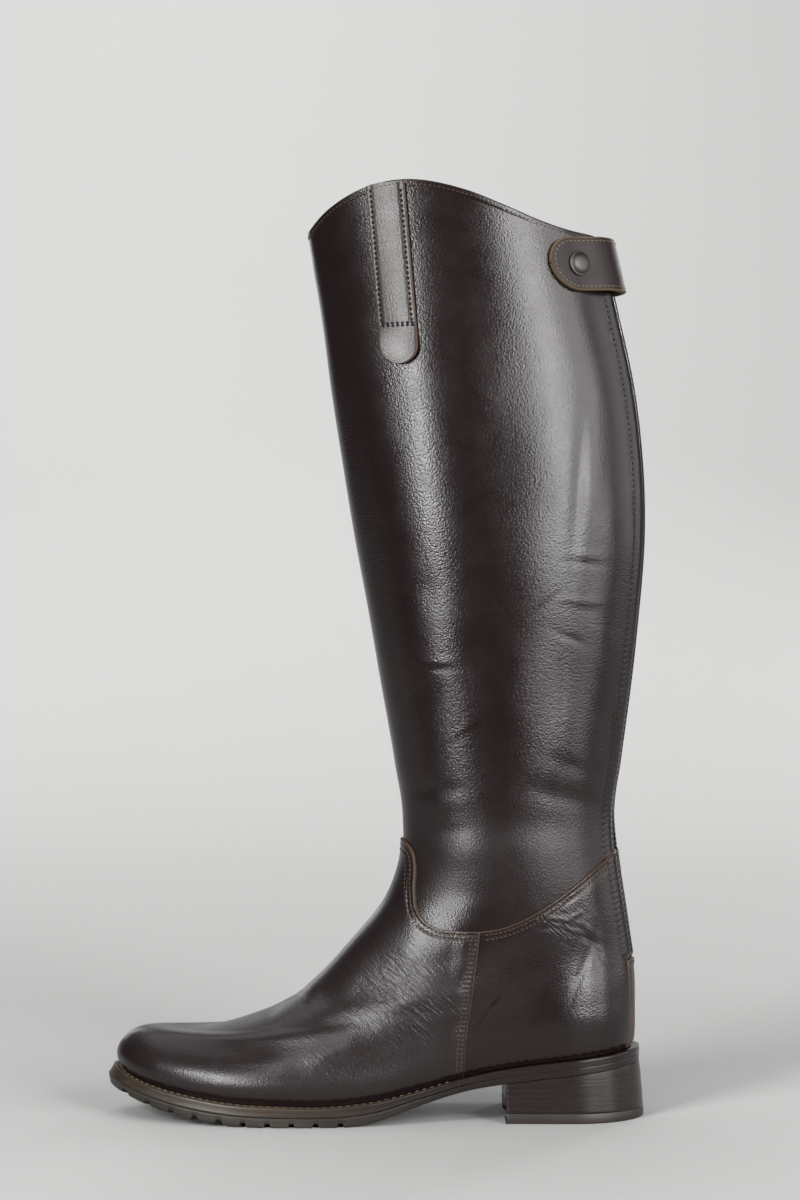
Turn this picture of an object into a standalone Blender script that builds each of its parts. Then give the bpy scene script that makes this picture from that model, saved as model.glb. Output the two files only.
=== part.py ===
"""A tall leather riding boot for the left foot, built as its maker would put it together.

Blender units are metres and +Z is up. The toe points to -X, the outer side of the leg faces -Y, and the
boot stands on the floor at z = 0. The sizes and tables below are in millimetres. Every leather piece is
worked out from one function, upper_point, which carries the last and the leg in slanted sections.
"""

import math

import bmesh
import bpy
import numpy as np
from mathutils import Matrix, Vector

MM = 0.001

# Driving sizes
SOLE_FRONT = -137.5
SOLE_BACK = 135.4
HEEL_BACK = 137.6
HEEL_BREAST = 66.0
UPPER_WALL = 2.0
GAP = 0.3
PANEL_THICK = 1.3
PLACKET_THICK = 1.9
PLACKET_CROWN = 0.6
STRAP_THICK = 3.0
TAB_THICK = 2.4
WELT_SHARE = 0.52
TOP_LIFT = 5.2
INSOLE_THICK = 2.4
INSOLE_CLEAR = 1.2    # between the insole's edge and the upper's wall

# The plan's middle line: how far it swings to one side, where the swing starts, and over what length
TOE_SWING = 6.0
TOE_SWING_FROM = -15.0
TOE_SWING_LENGTH = 122.0
TOE_SWING_POWER = 1.7
WAIST_SWING = -2.0
WAIST_SWING_AT = 25.0
WAIST_SWING_LENGTH = 38.0

# The zip at the back of the leg: its slit, the leather folded along it, the height of its lower end, its
# tape inside the wall, its chain in the slit and its slider. A drop is measured down from the collar.
SLIT_HALF = 3.0
PLACKET_OUTER = 13.0
PLACKET_CLEAR = 1.4   # between the foot of the fold and the quarter beside it
ZIP_END = 77.0
TAPE_HALF = 9.0
TAPE_THICK = 0.8
TAPE_DROP = 2.0
CHAIN_HALF = 2.2
CHAIN_THICK = 2.2
CHAIN_SUNK = 0.1      # how far the chain's back lies behind the wall's inner face
CHAIN_DROP = 6.0
SLIDER_SIZE = (5.2, 9.0, 2.6)
SLIDER_EDGE = 0.8
SLIDER_LEVEL = 434.0
SLIDER_OUT = 2.2

# The upper in slanted sections, from the line where it meets the welt to above the collar. Each section
# runs from a point on the front outline to one on the back outline. level names the section, and in the leg
# it is the height. half_front and half_back are half widths at the ball and at the heel, front_round and
# back_round the shares of the section that its two round ends take, waist the narrowing between them, and
# sag the share of the sole's curve that the section follows.
COLUMNS = ("level", "front_x", "front_z", "back_x", "back_z", "half_front", "half_back",
           "front_round", "back_round", "waist", "sag")
SECTIONS = (
    (0, -130.6, 25.0, 130.6, 36.2, 42.5, 30.6, 0.31, 0.135, 3.5, 1.00),     # feather line
    (8, -131.6, 31.6, 131.3, 44.0, 44.4, 32.0, 0.33, 0.140, 2.6, 0.86),     # toe wall
    (18, -128.2, 39.3, 131.4, 53.0, 42.4, 33.0, 0.38, 0.150, 1.6, 0.76),    # toe crown
    (32, -117.8, 46.4, 131.4, 62.0, 39.6, 33.2, 0.56, 0.170, 0.8, 0.55),    # toe top
    (48, -90.2, 45.4, 131.2, 71.0, 40.2, 33.0, 0.74, 0.200, 0.3, 0.22),     # ball
    (66, -59.8, 51.0, 130.3, 80.0, 41.6, 32.6, 0.80, 0.240, 0.0, 0.04),     # flex line
    (82, -40.0, 60.0, 129.0, 90.0, 41.0, 32.6, 0.80, 0.280, 0.0, 0.0),      # vamp
    (105, -12.2, 87.2, 126.6, 105.5, 39.5, 33.4, 0.72, 0.340, 0.0, 0.0),    # instep
    (125, 6.9, 112.0, 123.7, 123.0, 38.0, 34.8, 0.60, 0.410, 0.0, 0.0),     # ankle bend
    (140, 13.9, 132.0, 121.7, 139.0, 37.0, 36.0, 0.53, 0.470, 0.0, 0.0),    # ankle
    (152, 14.0, 150.0, 121.0, 152.0, 36.8, 36.6, 0.50, 0.50, 0.0, 0.0),     # throat
    (181, 9.6, 181.0, 124.5, 181.0, 37.6, 37.4, 0.50, 0.50, 0.0, 0.0),
    (243, -1.3, 243.0, 132.2, 243.0, 39.0, 39.0, 0.50, 0.50, 0.0, 0.0),
    (305, -12.1, 305.0, 136.7, 305.0, 40.4, 40.4, 0.50, 0.50, 0.0, 0.0),    # calf
    (366, -21.8, 366.0, 132.3, 366.0, 40.2, 40.2, 0.50, 0.50, 0.0, 0.0),
    (418, -29.2, 418.0, 121.4, 418.0, 39.2, 39.2, 0.50, 0.50, 0.0, 0.0),
    (451, -34.7, 451.0, 113.8, 451.0, 38.4, 38.4, 0.50, 0.50, 0.0, 0.0),    # collar at the shin
    (480, -39.0, 480.0, 106.0, 480.0, 37.8, 37.8, 0.50, 0.50, 0.0, 0.0),    # above the collar
)
HEEL_BLEND = (0.33, 0.80)   # shares between which the ball's width passes into the heel's
WAIST_SHARE = 0.62          # where along a section it is narrowest, and over what share
WAIST_SPREAD = 0.13
WELT_LEVEL = 1.2      # lowest level of a panel, which clears the welt
THROAT_LEVEL = 152    # the foot's panels end below it
STRETCH_LEVEL = 366   # above it the rows of the leg bend up to the collar's curve

# The collar's height along the section, by share of the way from the shin to the zip
COLLAR_SHARE = (0.0, 0.06, 0.16, 0.26, 0.36, 0.56, 0.70, 0.80, 0.90, 1.0)
COLLAR_HEIGHT = (451.0, 458.6, 467.2, 472.2, 474.0, 468.8, 460.4, 454.0, 449.8, 448.4)

# The sole from the side: along the boot, the top of the welt and the bottom of the outsole
SOLE_X = (-137.5, -130.0, -124.0, -112.0, -90.0, -70.0, -50.0, -18.0, 0.0, 20.0, 45.0, 67.0, 100.0, 120.0,
          137.5)
SOLE_TOP = (27.6, 23.6, 20.9, 17.6, 13.6, 11.2, 10.3, 10.4, 12.3, 16.8, 23.2, 27.4, 31.5, 33.6, 36.0)
SOLE_BOTTOM = (15.0, 13.0, 11.0, 7.4, 2.8, 0.7, 0.0, 0.0, 2.4, 9.0, 16.4, 20.2, 24.2, 26.6, 29.2)
TOE_LEAN = 3.4        # how far the sole's edge leans forward at the toe, from its top to its fullest line
SOLE_MARGIN = 5.0     # how far the welt stands out from the upper's wall, beside the foot
HEEL_MARGIN_SHARE = 0.75    # the part of that margin which is left at the heel
SOLE_EDGE = 0.8       # how far the edges of welt and outsole are broken
HEEL_FLARE_Z = 11.2   # height at which the heel's back has most of its flare
LIFT_EDGE = 0.6
LIFT_PROUD = 0.6      # how far the lift stands out beyond the sole's outline
TREAD_PITCH = 12.2
TREAD_GROOVE = 3.2
TREAD_DEPTH = 2.0
TREAD_FRONT = -127.0
TREAD_ROWS = 10

# Seams of the foot as the side view shows them: pairs of x and z
SIDE_SEAM = ((43.8, 10.0), (45.6, 40.0), (49.4, 70.0), (52.8, 97.0))
VAMP_TOP = ((52.8, 97.0), (42.0, 97.2), (32.5, 98.2), (26.0, 101.0), (21.8, 106.4), (20.4, 116.0),
            (20.8, 129.0), (19.4, 135.6), (15.0, 140.4), (6.0, 142.0))
QUARTER_TOP = ((52.8, 97.0), (63.0, 98.6), (74.0, 102.6), (86.0, 109.4), (98.0, 117.8), (110.0, 126.8),
               (132.0, 143.0))

# The strap over the top of the zip, with its snap, and the tab at the front of the leg
STRAP_TOP = 446.4
STRAP_BOTTOM = 419.4
STRAP_END_X = 87.8
STRAP_SEWN_X = 76.0
STRAP_STANDOFF = 5.0
STRAP_LAID_Y = 27.0   # beyond this distance from the zip the strap lies on the leg
SNAP_X = 103.6
SNAP_RADIUS = 6.4
SNAP_HEIGHT = 2.6
SNAP_RIM = 0.7
SNAP_UNDERCUT = 0.3
STRAP_ROUND_TURN = 0.075    # the part of a turn that the strap's round end takes
BLUNT_END = 0.12      # the tip of a round end, as a share of the piece's half width
TAB_TOP_X = 6.8
TAB_BOTTOM_X = 13.4
TAB_BOTTOM_Z = 382.0
TAB_HALF = 9.5
TAB_LIFT = 1.6
TAB_BELOW_EDGE = 0.4

# The upper's grid: columns round the leg, rows of the foot, and rows of the leg, which widen upwards
COLUMN_COUNT = 38
FOOT_ROWS = 18
LEG_ROWS = 11
LEG_ROW_POWER = 1.25

for old in list(bpy.data.objects):
    bpy.data.objects.remove(old)
boot = bpy.data.collections.new("riding_boot")
cutters = bpy.data.collections.new("boot_cutters")
for group in (boot, cutters):
    bpy.context.scene.collection.children.link(group)


def smooth(knots, values, at):
    """A cubic through the knots, whose slope at each knot comes from its two neighbours."""
    knots, values = np.asarray(knots, float), np.asarray(values, float)
    at = np.clip(np.asarray(at, float), knots[0], knots[-1])
    steps = np.diff(knots)
    rises = np.diff(values) / steps
    inner = (steps[1:] * rises[:-1] + steps[:-1] * rises[1:]) / (steps[1:] + steps[:-1])
    slopes = np.concatenate([rises[:1], inner, rises[-1:]])
    i = np.clip(np.searchsorted(knots, at, side="right") - 1, 0, len(steps) - 1)
    h = steps[i]
    s = (at - knots[i]) / h
    start = (1 + 2 * s) * (1 - s) ** 2 * values[i] + s * (1 - s) ** 2 * h * slopes[i]
    end = s * s * (3 - 2 * s) * values[i + 1] + s * s * (s - 1) * h * slopes[i + 1]
    return start + end


def ease(low, high, at):
    """Rises smoothly from 0 at low to 1 at high."""
    s = np.clip((np.asarray(at, float) - low) / (high - low), 0, 1)
    return s * s * (3 - 2 * s)


def round_end(share):
    """A quarter of an ellipse: 0 at the end of a section, 1 where its round end is over."""
    return np.sqrt(1 - (1 - np.clip(share, 0, 1)) ** 2)


def middle_line(x):
    """The y of the foot's middle: it swings inwards at the toe and a little outwards at the waist."""
    toe = np.maximum((TOE_SWING_FROM - x) / TOE_SWING_LENGTH, 0) ** TOE_SWING_POWER
    waist = np.exp(-((x - WAIST_SWING_AT) / WAIST_SWING_LENGTH) ** 2)
    return TOE_SWING * toe + WAIST_SWING * waist


def sole_top(x):
    return smooth(SOLE_X, SOLE_TOP, x)


def sole_bottom(x):
    return np.maximum(smooth(SOLE_X, SOLE_BOTTOM, x), 0)


# The upper's function

TABLE = dict(zip(COLUMNS, np.array(SECTIONS, float).T))


def section(level):
    """Every column of the table, at any level."""
    return {name: smooth(TABLE["level"], TABLE[name], level) for name in COLUMNS}


def half_width(part, share):
    """Half the width of a section, share of the way from its front to its back."""
    body = part["half_front"] + (part["half_back"] - part["half_front"]) * ease(*HEEL_BLEND, share)
    waist = part["waist"] * np.exp(-((share - WAIST_SHARE) / WAIST_SPREAD) ** 2)
    ends = round_end(share / part["front_round"]) * round_end((1 - share) / part["back_round"])
    return (body - waist) * ends


def upper_base(level, turn):
    """A point of the upper's outer face. turn is 0 at the front, -1 and 1 at the back, and below 0 outside."""
    part = section(level)
    share = (1 - np.cos(np.pi * np.abs(turn))) / 2
    x = part["front_x"] + share * (part["back_x"] - part["front_x"])
    line = part["front_z"] + share * (part["back_z"] - part["front_z"])
    feather = TABLE["front_z"][0] + share * (TABLE["back_z"][0] - TABLE["front_z"][0])
    z = line + part["sag"] * (sole_top(x) + GAP - feather)
    y = middle_line(x) + np.sign(turn) * half_width(part, share)
    return np.stack([x, y, z], axis=-1)


def upper_point(level, turn, out=0.0):
    """A point that lies out of the upper's outer face, along its normal."""
    level, turn = np.broadcast_arrays(np.asarray(level, float), np.asarray(turn, float))
    step, nudge = 0.25, 0.002
    up = upper_base(level + step, turn) - upper_base(level - step, turn)
    ahead, behind = turn + nudge, turn - nudge
    ahead = np.where(ahead > 1, ahead - 2, ahead)
    behind = np.where(behind < -1, behind + 2, behind)
    around = upper_base(level, ahead) - upper_base(level, behind)
    normal = np.cross(up, around)
    normal /= np.linalg.norm(normal, axis=-1, keepdims=True)
    return upper_base(level, turn) + normal * np.asarray(out, float)[..., None]


def turn_at_x(level, x, side):
    """The turn at which a section passes x, on the outer side (-1) or the inner one (1)."""
    part = section(level)
    share = (x - part["front_x"]) / (part["back_x"] - part["front_x"])
    return side * np.arccos(np.clip(1 - 2 * share, -1, 1)) / np.pi


def turn_beside_zip(level, distance):
    """The turn, from 0.5 to 1, at which a section lies that far from its back middle."""
    low, high = np.full(np.shape(level), 0.55), np.ones(np.shape(level))
    part = section(level)
    for _ in range(40):
        mid = (low + high) / 2
        beyond = half_width(part, (1 - np.cos(np.pi * mid)) / 2) > distance
        low, high = np.where(beyond, mid, low), np.where(beyond, high, mid)
    return (low + high) / 2


def collar_level(turn):
    """The level of the collar's edge."""
    return smooth(COLLAR_SHARE, COLLAR_HEIGHT, (1 - np.cos(np.pi * np.abs(turn))) / 2)


def level_of_back(height):
    """The level of the section whose back end has that height."""
    return np.interp(height, TABLE["back_z"], TABLE["level"])


# Meshes

def srgb(code):
    """A colour code such as 3A2F2C as linear red, green, blue and alpha."""
    parts = [int(code[i:i + 2], 16) / 255 for i in (0, 2, 4)]
    return [c / 12.92 if c <= 0.04045 else ((c + 0.055) / 1.055) ** 2.4 for c in parts] + [1.0]


def finish(name, code, roughness, metallic=0.0):
    """A material of one colour."""
    made = bpy.data.materials.new(name)
    made.use_nodes = True
    shader = made.node_tree.nodes["Principled BSDF"]
    shader.inputs["Base Color"].default_value = srgb(code)
    shader.inputs["Roughness"].default_value = roughness
    shader.inputs["Metallic"].default_value = metallic
    return made


LEATHER = finish("brown_calf_leather", "3A2F2D", 0.35)
CUT_LEATHER = finish("cut_leather_edge", "6A4C2C", 0.7)
WELT_BROWN = finish("welt_brown", "57432F", 0.5)
RUBBER = finish("sole_rubber", "453A30", 0.6)
STACK = finish("stacked_heel", "3D302B", 0.35)
LIFT_RUBBER = finish("top_lift_rubber", "4A4540", 0.6)
ZIP_TAPE = finish("zip_tape", "1B1918", 0.8)
ZIP_CHAIN = finish("zip_chain", "2A2725", 0.45)
GUNMETAL = finish("gunmetal", "55575A", 0.3, 1.0)
LINING = finish("insole_leather", "8A6E50", 0.7)


def add_object(name, mesh, material, group=boot):
    """An object of that mesh, shaded smooth between its sharp edges."""
    made = bpy.data.objects.new(name, mesh)
    group.objects.link(made)
    mesh.materials.append(material)
    mesh.shade_smooth()
    mesh.set_sharp_from_angle(angle=math.radians(40))
    return made


def grid_mesh(name, points, closed=(), faces_out=True):
    """A surface over rows and columns of points. closed lists the rows whose last column joins the first."""
    rows, columns = points.shape[:2]
    corners = [(r, c, c + 1) for r in range(rows - 1) for c in range(columns - 1)]
    corners += [(r, columns - 1, 0) for r in closed]
    shape = bmesh.new()
    at = [[shape.verts.new(p * MM) for p in row] for row in points]
    for r, c, d in corners:
        loop = (at[r][c], at[r + 1][c], at[r + 1][d], at[r][d])
        shape.faces.new(loop if faces_out else loop[::-1])
    mesh = bpy.data.meshes.new(name)
    shape.to_mesh(mesh)
    shape.free()
    return mesh


def thicken(made, thickness, side):
    """Gives a surface its wall, outwards (side 1) or inwards (side -1)."""
    wall = made.modifiers.new("wall", "SOLIDIFY")
    wall.thickness = thickness * MM
    wall.offset = side
    return made


def cut(made, cutter, operation):
    step = made.modifiers.new("cut", "BOOLEAN")
    step.object = cutter
    step.operation = operation


def helper(made):
    made.hide_render = True
    made.display_type = "WIRE"
    return made


def prism(name, outline, y_low, y_high):
    """A cutter: a side view outline of x and z, carried from one y to another."""
    shape = bmesh.new()
    face = shape.faces.new([shape.verts.new(Vector((x, y_low, z)) * MM) for x, z in outline])
    moved = bmesh.ops.extrude_face_region(shape, geom=[face])["geom"]
    corners = [v for v in moved if isinstance(v, bmesh.types.BMVert)]
    bmesh.ops.translate(shape, verts=corners, vec=Vector((0, y_high - y_low, 0)) * MM)
    bmesh.ops.recalc_face_normals(shape, faces=shape.faces)
    mesh = bpy.data.meshes.new(name)
    shape.to_mesh(mesh)
    shape.free()
    return helper(add_object(name, mesh, CUT_LEATHER, cutters))


def seam_points(controls, count):
    """Points along a smooth seam through its few control points."""
    controls = np.array(controls, float)
    lengths = np.concatenate([[0], np.cumsum(np.linalg.norm(np.diff(controls, axis=0), axis=1))])
    at = np.linspace(0, lengths[-1], count)
    return np.stack([smooth(lengths, controls[:, k], at) for k in (0, 1)], axis=1)


# The upper

FOOT_LEVELS = np.linspace(0, THROAT_LEVEL, FOOT_ROWS)
LEG_SHARE = (np.arange(1, LEG_ROWS + 1) / LEG_ROWS) ** LEG_ROW_POWER
LEG_LEVELS = THROAT_LEVEL + (TABLE["level"][-1] - THROAT_LEVEL) * LEG_SHARE
UPPER_LEVELS = np.concatenate([FOOT_LEVELS, LEG_LEVELS])


def bend_to_collar(level, turn):
    """The rows of the leg, of which the upper ones bend up to the collar's curve."""
    top = UPPER_LEVELS[-1]
    stretch = np.clip((level - STRETCH_LEVEL) / (top - STRETCH_LEVEL), 0, 1)
    return level + stretch * (collar_level(turn) - top)


def turns_of(level):
    """The turns of the upper's columns, from one edge of the zip round to the other."""
    return np.linspace(-1, 1, COLUMN_COUNT) * turn_beside_zip(level, SLIT_HALF)[:, None]


def make_upper():
    """One hollow wall from the welt to the collar, open at both and along the zip."""
    level = UPPER_LEVELS
    turn = turns_of(level)
    rows = bend_to_collar(level[:, None], turn)
    turn = np.sign(turn) * np.minimum(np.abs(turn), turn_beside_zip(rows, SLIT_HALF))
    below_zip = [r for r in range(len(level) - 1) if level[r + 1] <= level_of_back(ZIP_END)]
    mesh = grid_mesh("upper", upper_point(rows, turn), below_zip)
    return thicken(add_object("upper", mesh, LEATHER), UPPER_WALL, -1)


def panel_shell(name, material):
    """A ring of leather that lies on the upper round the whole foot, from which a panel is cut."""
    level = np.maximum(FOOT_LEVELS, WELT_LEVEL)
    mesh = grid_mesh(name, upper_point(level[:, None], turns_of(level), GAP), range(FOOT_ROWS - 1))
    return thicken(add_object(name, mesh, material), PANEL_THICK, 1)


def make_vamp():
    """The front panel of the foot, with the tongue that runs up the shin."""
    seam = seam_points(SIDE_SEAM, 7)
    top = seam_points(VAMP_TOP, 26)
    front = [(-60, 142), (-160, 80), (-160, -10)]
    outline = [(seam[0][0], -10), *seam, *top[1:], *front]
    vamp = panel_shell("vamp", LEATHER)
    cut(vamp, prism("vamp_outline", outline, -90, 90), "INTERSECT")


def make_quarter(name, side):
    """The rear panel of the foot on one side, from the side seam to the zip."""
    seam = seam_points(SIDE_SEAM, 7) + np.array([GAP, 0])
    top = seam_points(QUARTER_TOP, 12) + np.array([GAP, 0])
    outline = [(seam[0][0], -10), *seam, *top[1:], (150, 150), (150, -10)]
    near, far = PLACKET_OUTER + PLACKET_CLEAR, 90
    shell = panel_shell(name, LEATHER)
    bounds = sorted((side * near, side * far))
    cut(shell, prism(name + "_outline", outline, *bounds), "INTERSECT")


def make_back_stay():
    """The strip that covers the join of the two quarters, below the zip."""
    top_level = level_of_back(ZIP_END)
    level = np.linspace(WELT_LEVEL, top_level, 7)
    edge = turn_beside_zip(level, PLACKET_OUTER)
    across = np.linspace(0, 1, 9)
    turn = edge[:, None] + across[None, :] * 2 * (1 - edge[:, None])
    turn = np.where(turn > 1, turn - 2, turn)
    mesh = grid_mesh("back_stay", upper_point(level[:, None], turn, GAP))
    thicken(add_object("back_stay", mesh, CUT_LEATHER), PANEL_THICK, 1)


def zip_rows(drop=0.0):
    """Levels of the sections beside the zip: the upper's own rows, from the zip's lower end to the collar."""
    low, high = level_of_back(ZIP_END) + 1.5, collar_level(1.0) - drop
    rows = bend_to_collar(UPPER_LEVELS, 1.0)
    return np.concatenate([[low], rows[(rows > low + 3) & (rows < high - 3)], [high]])


def make_placket(name, side):
    """The leather folded along one edge of the zip, fuller in its middle."""
    level = zip_rows()
    near = turn_beside_zip(level, SLIT_HALF + GAP)
    far = turn_beside_zip(level, PLACKET_OUTER)
    across = np.linspace(0, 1, 4)
    turn = side * (near[:, None] + across[None, :] * (far - near)[:, None])
    crown = PLACKET_CROWN * np.sin(np.pi * across)
    points = upper_point(level[:, None] * np.ones_like(turn), turn, GAP + crown * np.ones_like(turn))
    mesh = grid_mesh(name, points, faces_out=side < 0)
    thicken(add_object(name, mesh, LEATHER), PLACKET_THICK, 1)


def make_zip_strip(name, half, out, thickness, material, drop):
    """A strip along the zip: its tape inside the leg, or its chain in the slit."""
    level = zip_rows(drop)
    edge = turn_beside_zip(level, half)
    across = np.linspace(0, 1, 4)
    turn = edge[:, None] + across[None, :] * 2 * (1 - edge[:, None])
    turn = np.where(turn > 1, turn - 2, turn)
    mesh = grid_mesh(name, upper_point(level[:, None], turn, out))
    thicken(add_object(name, mesh, material), thickness, 1)


def frame_on(surface, level, turn, out):
    """A place out of a surface: local Z points away from it and local Y up along it."""
    middle = Vector(surface(level, turn))
    up = Vector(surface(level + 1, turn)) - middle
    along = Vector(surface(level, turn + 0.01)) - middle
    normal = up.cross(along).normalized()
    up = (up - normal * up.dot(normal)).normalized()
    place = Matrix((up.cross(normal), up, normal)).transposed().to_4x4()
    place.translation = (middle + normal * out) * MM
    return place


def make_slider():
    """The zip's slider, at the top of the chain under the strap."""
    bpy.ops.mesh.primitive_cube_add(size=1)
    slider = bpy.context.active_object
    slider.name = slider.data.name = "zip_slider"
    for group in slider.users_collection:
        group.objects.unlink(slider)
    boot.objects.link(slider)
    slider.data.transform(Matrix.Diagonal([size * MM for size in SLIDER_SIZE] + [1]))
    slider.data.materials.append(GUNMETAL)
    slider.matrix_world = frame_on(upper_point, SLIDER_LEVEL, -1.0, SLIDER_OUT)
    edges = slider.modifiers.new("edges", "BEVEL")
    edges.width, edges.segments = SLIDER_EDGE * MM, 2


# The strap, the snap and the tab

def strap_out(level, turn):
    """How far the strap's inner face lies out: flat on the leg, and clear of the zip at the back."""
    distance = half_width(section(level), (1 - np.cos(np.pi * np.abs(turn))) / 2)
    return GAP + (STRAP_STANDOFF - GAP) * (1 - ease(PLACKET_OUTER + 2, STRAP_LAID_Y, distance))


def strap_face(level, turn):
    """A point of the strap's outer face."""
    return upper_point(level, turn, strap_out(level, turn) + STRAP_THICK)


def make_strap():
    """A band round the back of the leg, sewn on inside and snapped on outside, with a round end."""
    middle, reach = (STRAP_TOP + STRAP_BOTTOM) / 2, (STRAP_TOP - STRAP_BOTTOM) / 2
    start = float(turn_at_x(middle, STRAP_END_X, -1))
    end = float(turn_at_x(middle, STRAP_SEWN_X, 1))
    first = start - STRAP_ROUND_TURN * (1 - np.cos(np.linspace(0, np.pi / 2, 7)))
    along = np.concatenate([first, np.linspace(first[-1], end - 2, 20)[1:]])
    turn = np.where(along < -1, along + 2, along)
    flat = upper_point(middle, turn)
    run = np.concatenate([[0], np.cumsum(np.linalg.norm(np.diff(flat, axis=0), axis=1))])
    half = reach * np.maximum(round_end(run / reach), BLUNT_END)
    level = middle + np.linspace(-1, 1, 5)[:, None] * half[None, :]
    turns = turn[None, :] * np.ones_like(level)
    mesh = grid_mesh("snap_strap", upper_point(level, turns, strap_out(level, turns)), faces_out=False)
    return thicken(add_object("snap_strap", mesh, LEATHER), STRAP_THICK, 1)


def turned(name, profile, material, place):
    """A piece turned about its local Z from a profile of radius and height, top to bottom."""
    mesh = bpy.data.meshes.new(name)
    points = [(r * MM, 0, z * MM) for r, z in profile]
    mesh.from_pydata(points, [(i, i + 1) for i in range(len(points) - 1)], [])
    made = add_object(name, mesh, material)
    spin = made.modifiers.new("turn", "SCREW")
    spin.steps = spin.render_steps = 16
    spin.use_merge_vertices = True
    spin.merge_threshold = 0.00001
    made.matrix_world = place
    return made


def make_snap():
    """The snap's domed cap on the strap."""
    level = (STRAP_TOP + STRAP_BOTTOM) / 2
    turn = turn_at_x(level, SNAP_X, -1)
    dome = SNAP_HEIGHT - SNAP_RIM
    arc = [(SNAP_RADIUS * math.sin(a), SNAP_RIM + dome * math.cos(a)) for a in np.linspace(0, math.pi / 2, 6)]
    profile = [*arc, (SNAP_RADIUS - SNAP_UNDERCUT, 0.0), (0.0, 0.0)]
    turned("snap_cap", profile, GUNMETAL, frame_on(strap_face, level, turn, 2 * GAP))


def make_tab():
    """The finger tab, sewn on from the collar down, with a round end that lifts off the leg."""
    down = np.concatenate([np.linspace(0, 1, 10)[:-1] * 0.9, 0.9 + 0.1 * np.sin(np.linspace(0, np.pi / 2, 6))])
    top = float(collar_level(turn_at_x(COLLAR_HEIGHT[2], TAB_TOP_X, -1))) - TAB_BELOW_EDGE
    height = top + down * (TAB_BOTTOM_Z - top)
    half = TAB_HALF * np.maximum(round_end((height - TAB_BOTTOM_Z) / TAB_HALF), BLUNT_END)
    middle = TAB_TOP_X + down * (TAB_BOTTOM_X - TAB_TOP_X)
    across = np.linspace(-1, 1, 5)
    x = middle[:, None] + across[None, :] * half[:, None]
    level = height[:, None] * np.ones_like(x)
    out = GAP + TAB_LIFT * ease(0.8, 1.0, down)[:, None] * np.ones_like(x)
    mesh = grid_mesh("finger_tab", upper_point(level, turn_at_x(level, x, -1), out))
    thicken(add_object("finger_tab", mesh, LEATHER), TAB_THICK, 1)


# The bottom

def outline(margin, front, back, breast=None, count=34):
    """The last's plan outline grown by margin: x, and the y of its outer and inner edge."""
    part = section(0.0)
    start = front if breast is None else breast
    pace = np.linspace(0, 1, count)
    if breast is None:
        x = start + (1 - np.cos(np.pi * pace)) / 2 * (back - start)
    else:
        x = start + np.sin(np.pi / 2 * pace) * (back - start)
    share = np.clip((x - front) / (back - front), 0, 1)
    grown = {**part, "half_front": part["half_front"] + margin,
             "half_back": part["half_back"] + margin * HEEL_MARGIN_SHARE}
    half = half_width(grown, share)
    return x, middle_line(x) - half, middle_line(x) + half


def plate(name, rings, material):
    """A solid stacked from rings, top to bottom. A ring is an outline and the height of each of its points."""
    shape = bmesh.new()
    loops, strips = [], []
    for (x, outer, inner), height in rings:
        left = [shape.verts.new(Vector(p) * MM) for p in zip(x, outer, height)]
        right = [shape.verts.new(Vector(p) * MM) for p in zip(x, inner, height)]
        loops.append(left + right[::-1])
        strips.append((left, right))
    for above, below in zip(loops, loops[1:]):
        for i, here in enumerate(above):
            after = (i + 1) % len(above)
            shape.faces.new((here, below[i], below[after], above[after]))
    for (left, right), up in ((strips[0], True), (strips[-1], False)):
        for i in range(len(left) - 1):
            face = (left[i], left[i + 1], right[i + 1], right[i])
            shape.faces.new(face if up else face[::-1])
    bmesh.ops.remove_doubles(shape, verts=shape.verts, dist=0.00002)
    bmesh.ops.recalc_face_normals(shape, faces=shape.faces)
    mesh = bpy.data.meshes.new(name)
    shape.to_mesh(mesh)
    shape.free()
    return add_object(name, mesh, material)


def sole_ring(inset, height_of, lean=0.0):
    """A ring of the sole's own outline, drawn in by inset, and at the toe by lean as well."""
    line = outline(SOLE_MARGIN - inset, SOLE_FRONT + inset + lean * TOE_LEAN, SOLE_BACK - inset)
    return line, height_of(line[0])


def split_line(x):
    """The height at which the welt lies on the outsole."""
    return sole_top(x) - WELT_SHARE * (sole_top(x) - sole_bottom(x))


def make_welt():
    """The midsole plate round the foot, whose upper edge leans back at the toe."""
    edge = SOLE_EDGE
    plate("welt", [sole_ring(edge, sole_top, 0.9),
                   sole_ring(0, lambda x: sole_top(x) - edge, 0.8),
                   sole_ring(0, lambda x: split_line(x) + GAP + edge / 2, 0.2),
                   sole_ring(edge / 2, lambda x: split_line(x) + GAP, 0.15)], WELT_BROWN)


def make_outsole():
    """The outsole under the welt, with grooves cut across the forefoot between its lugs."""
    edge, taper = SOLE_EDGE, SOLE_EDGE / 4
    sole = plate("outsole", [sole_ring(edge / 2, split_line, 0.1),
                             sole_ring(0, lambda x: split_line(x) - edge / 2),
                             sole_ring(taper, lambda x: sole_bottom(x) + edge, 0.2),
                             sole_ring(taper + edge, sole_bottom, 0.6)], RUBBER)
    for row in range(TREAD_ROWS):
        x = TREAD_FRONT + row * TREAD_PITCH
        slope = math.atan2(float(sole_bottom(x + 1) - sole_bottom(x - 1)), 2)
        bpy.ops.mesh.primitive_cube_add(size=1)
        groove = bpy.context.active_object
        groove.name = f"tread_groove_{row}"
        for group in groove.users_collection:
            group.objects.unlink(groove)
        cutters.objects.link(groove)
        groove.data.transform(Matrix.Diagonal((TREAD_GROOVE * MM, 120 * MM, 2 * TREAD_DEPTH * MM, 1)))
        groove.matrix_world = (Matrix.Translation(Vector((x, 0, float(sole_bottom(x)))) * MM)
                               @ Matrix.Rotation(-slope, 4, "Y"))
        cut(sole, helper(groove), "DIFFERENCE")


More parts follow.
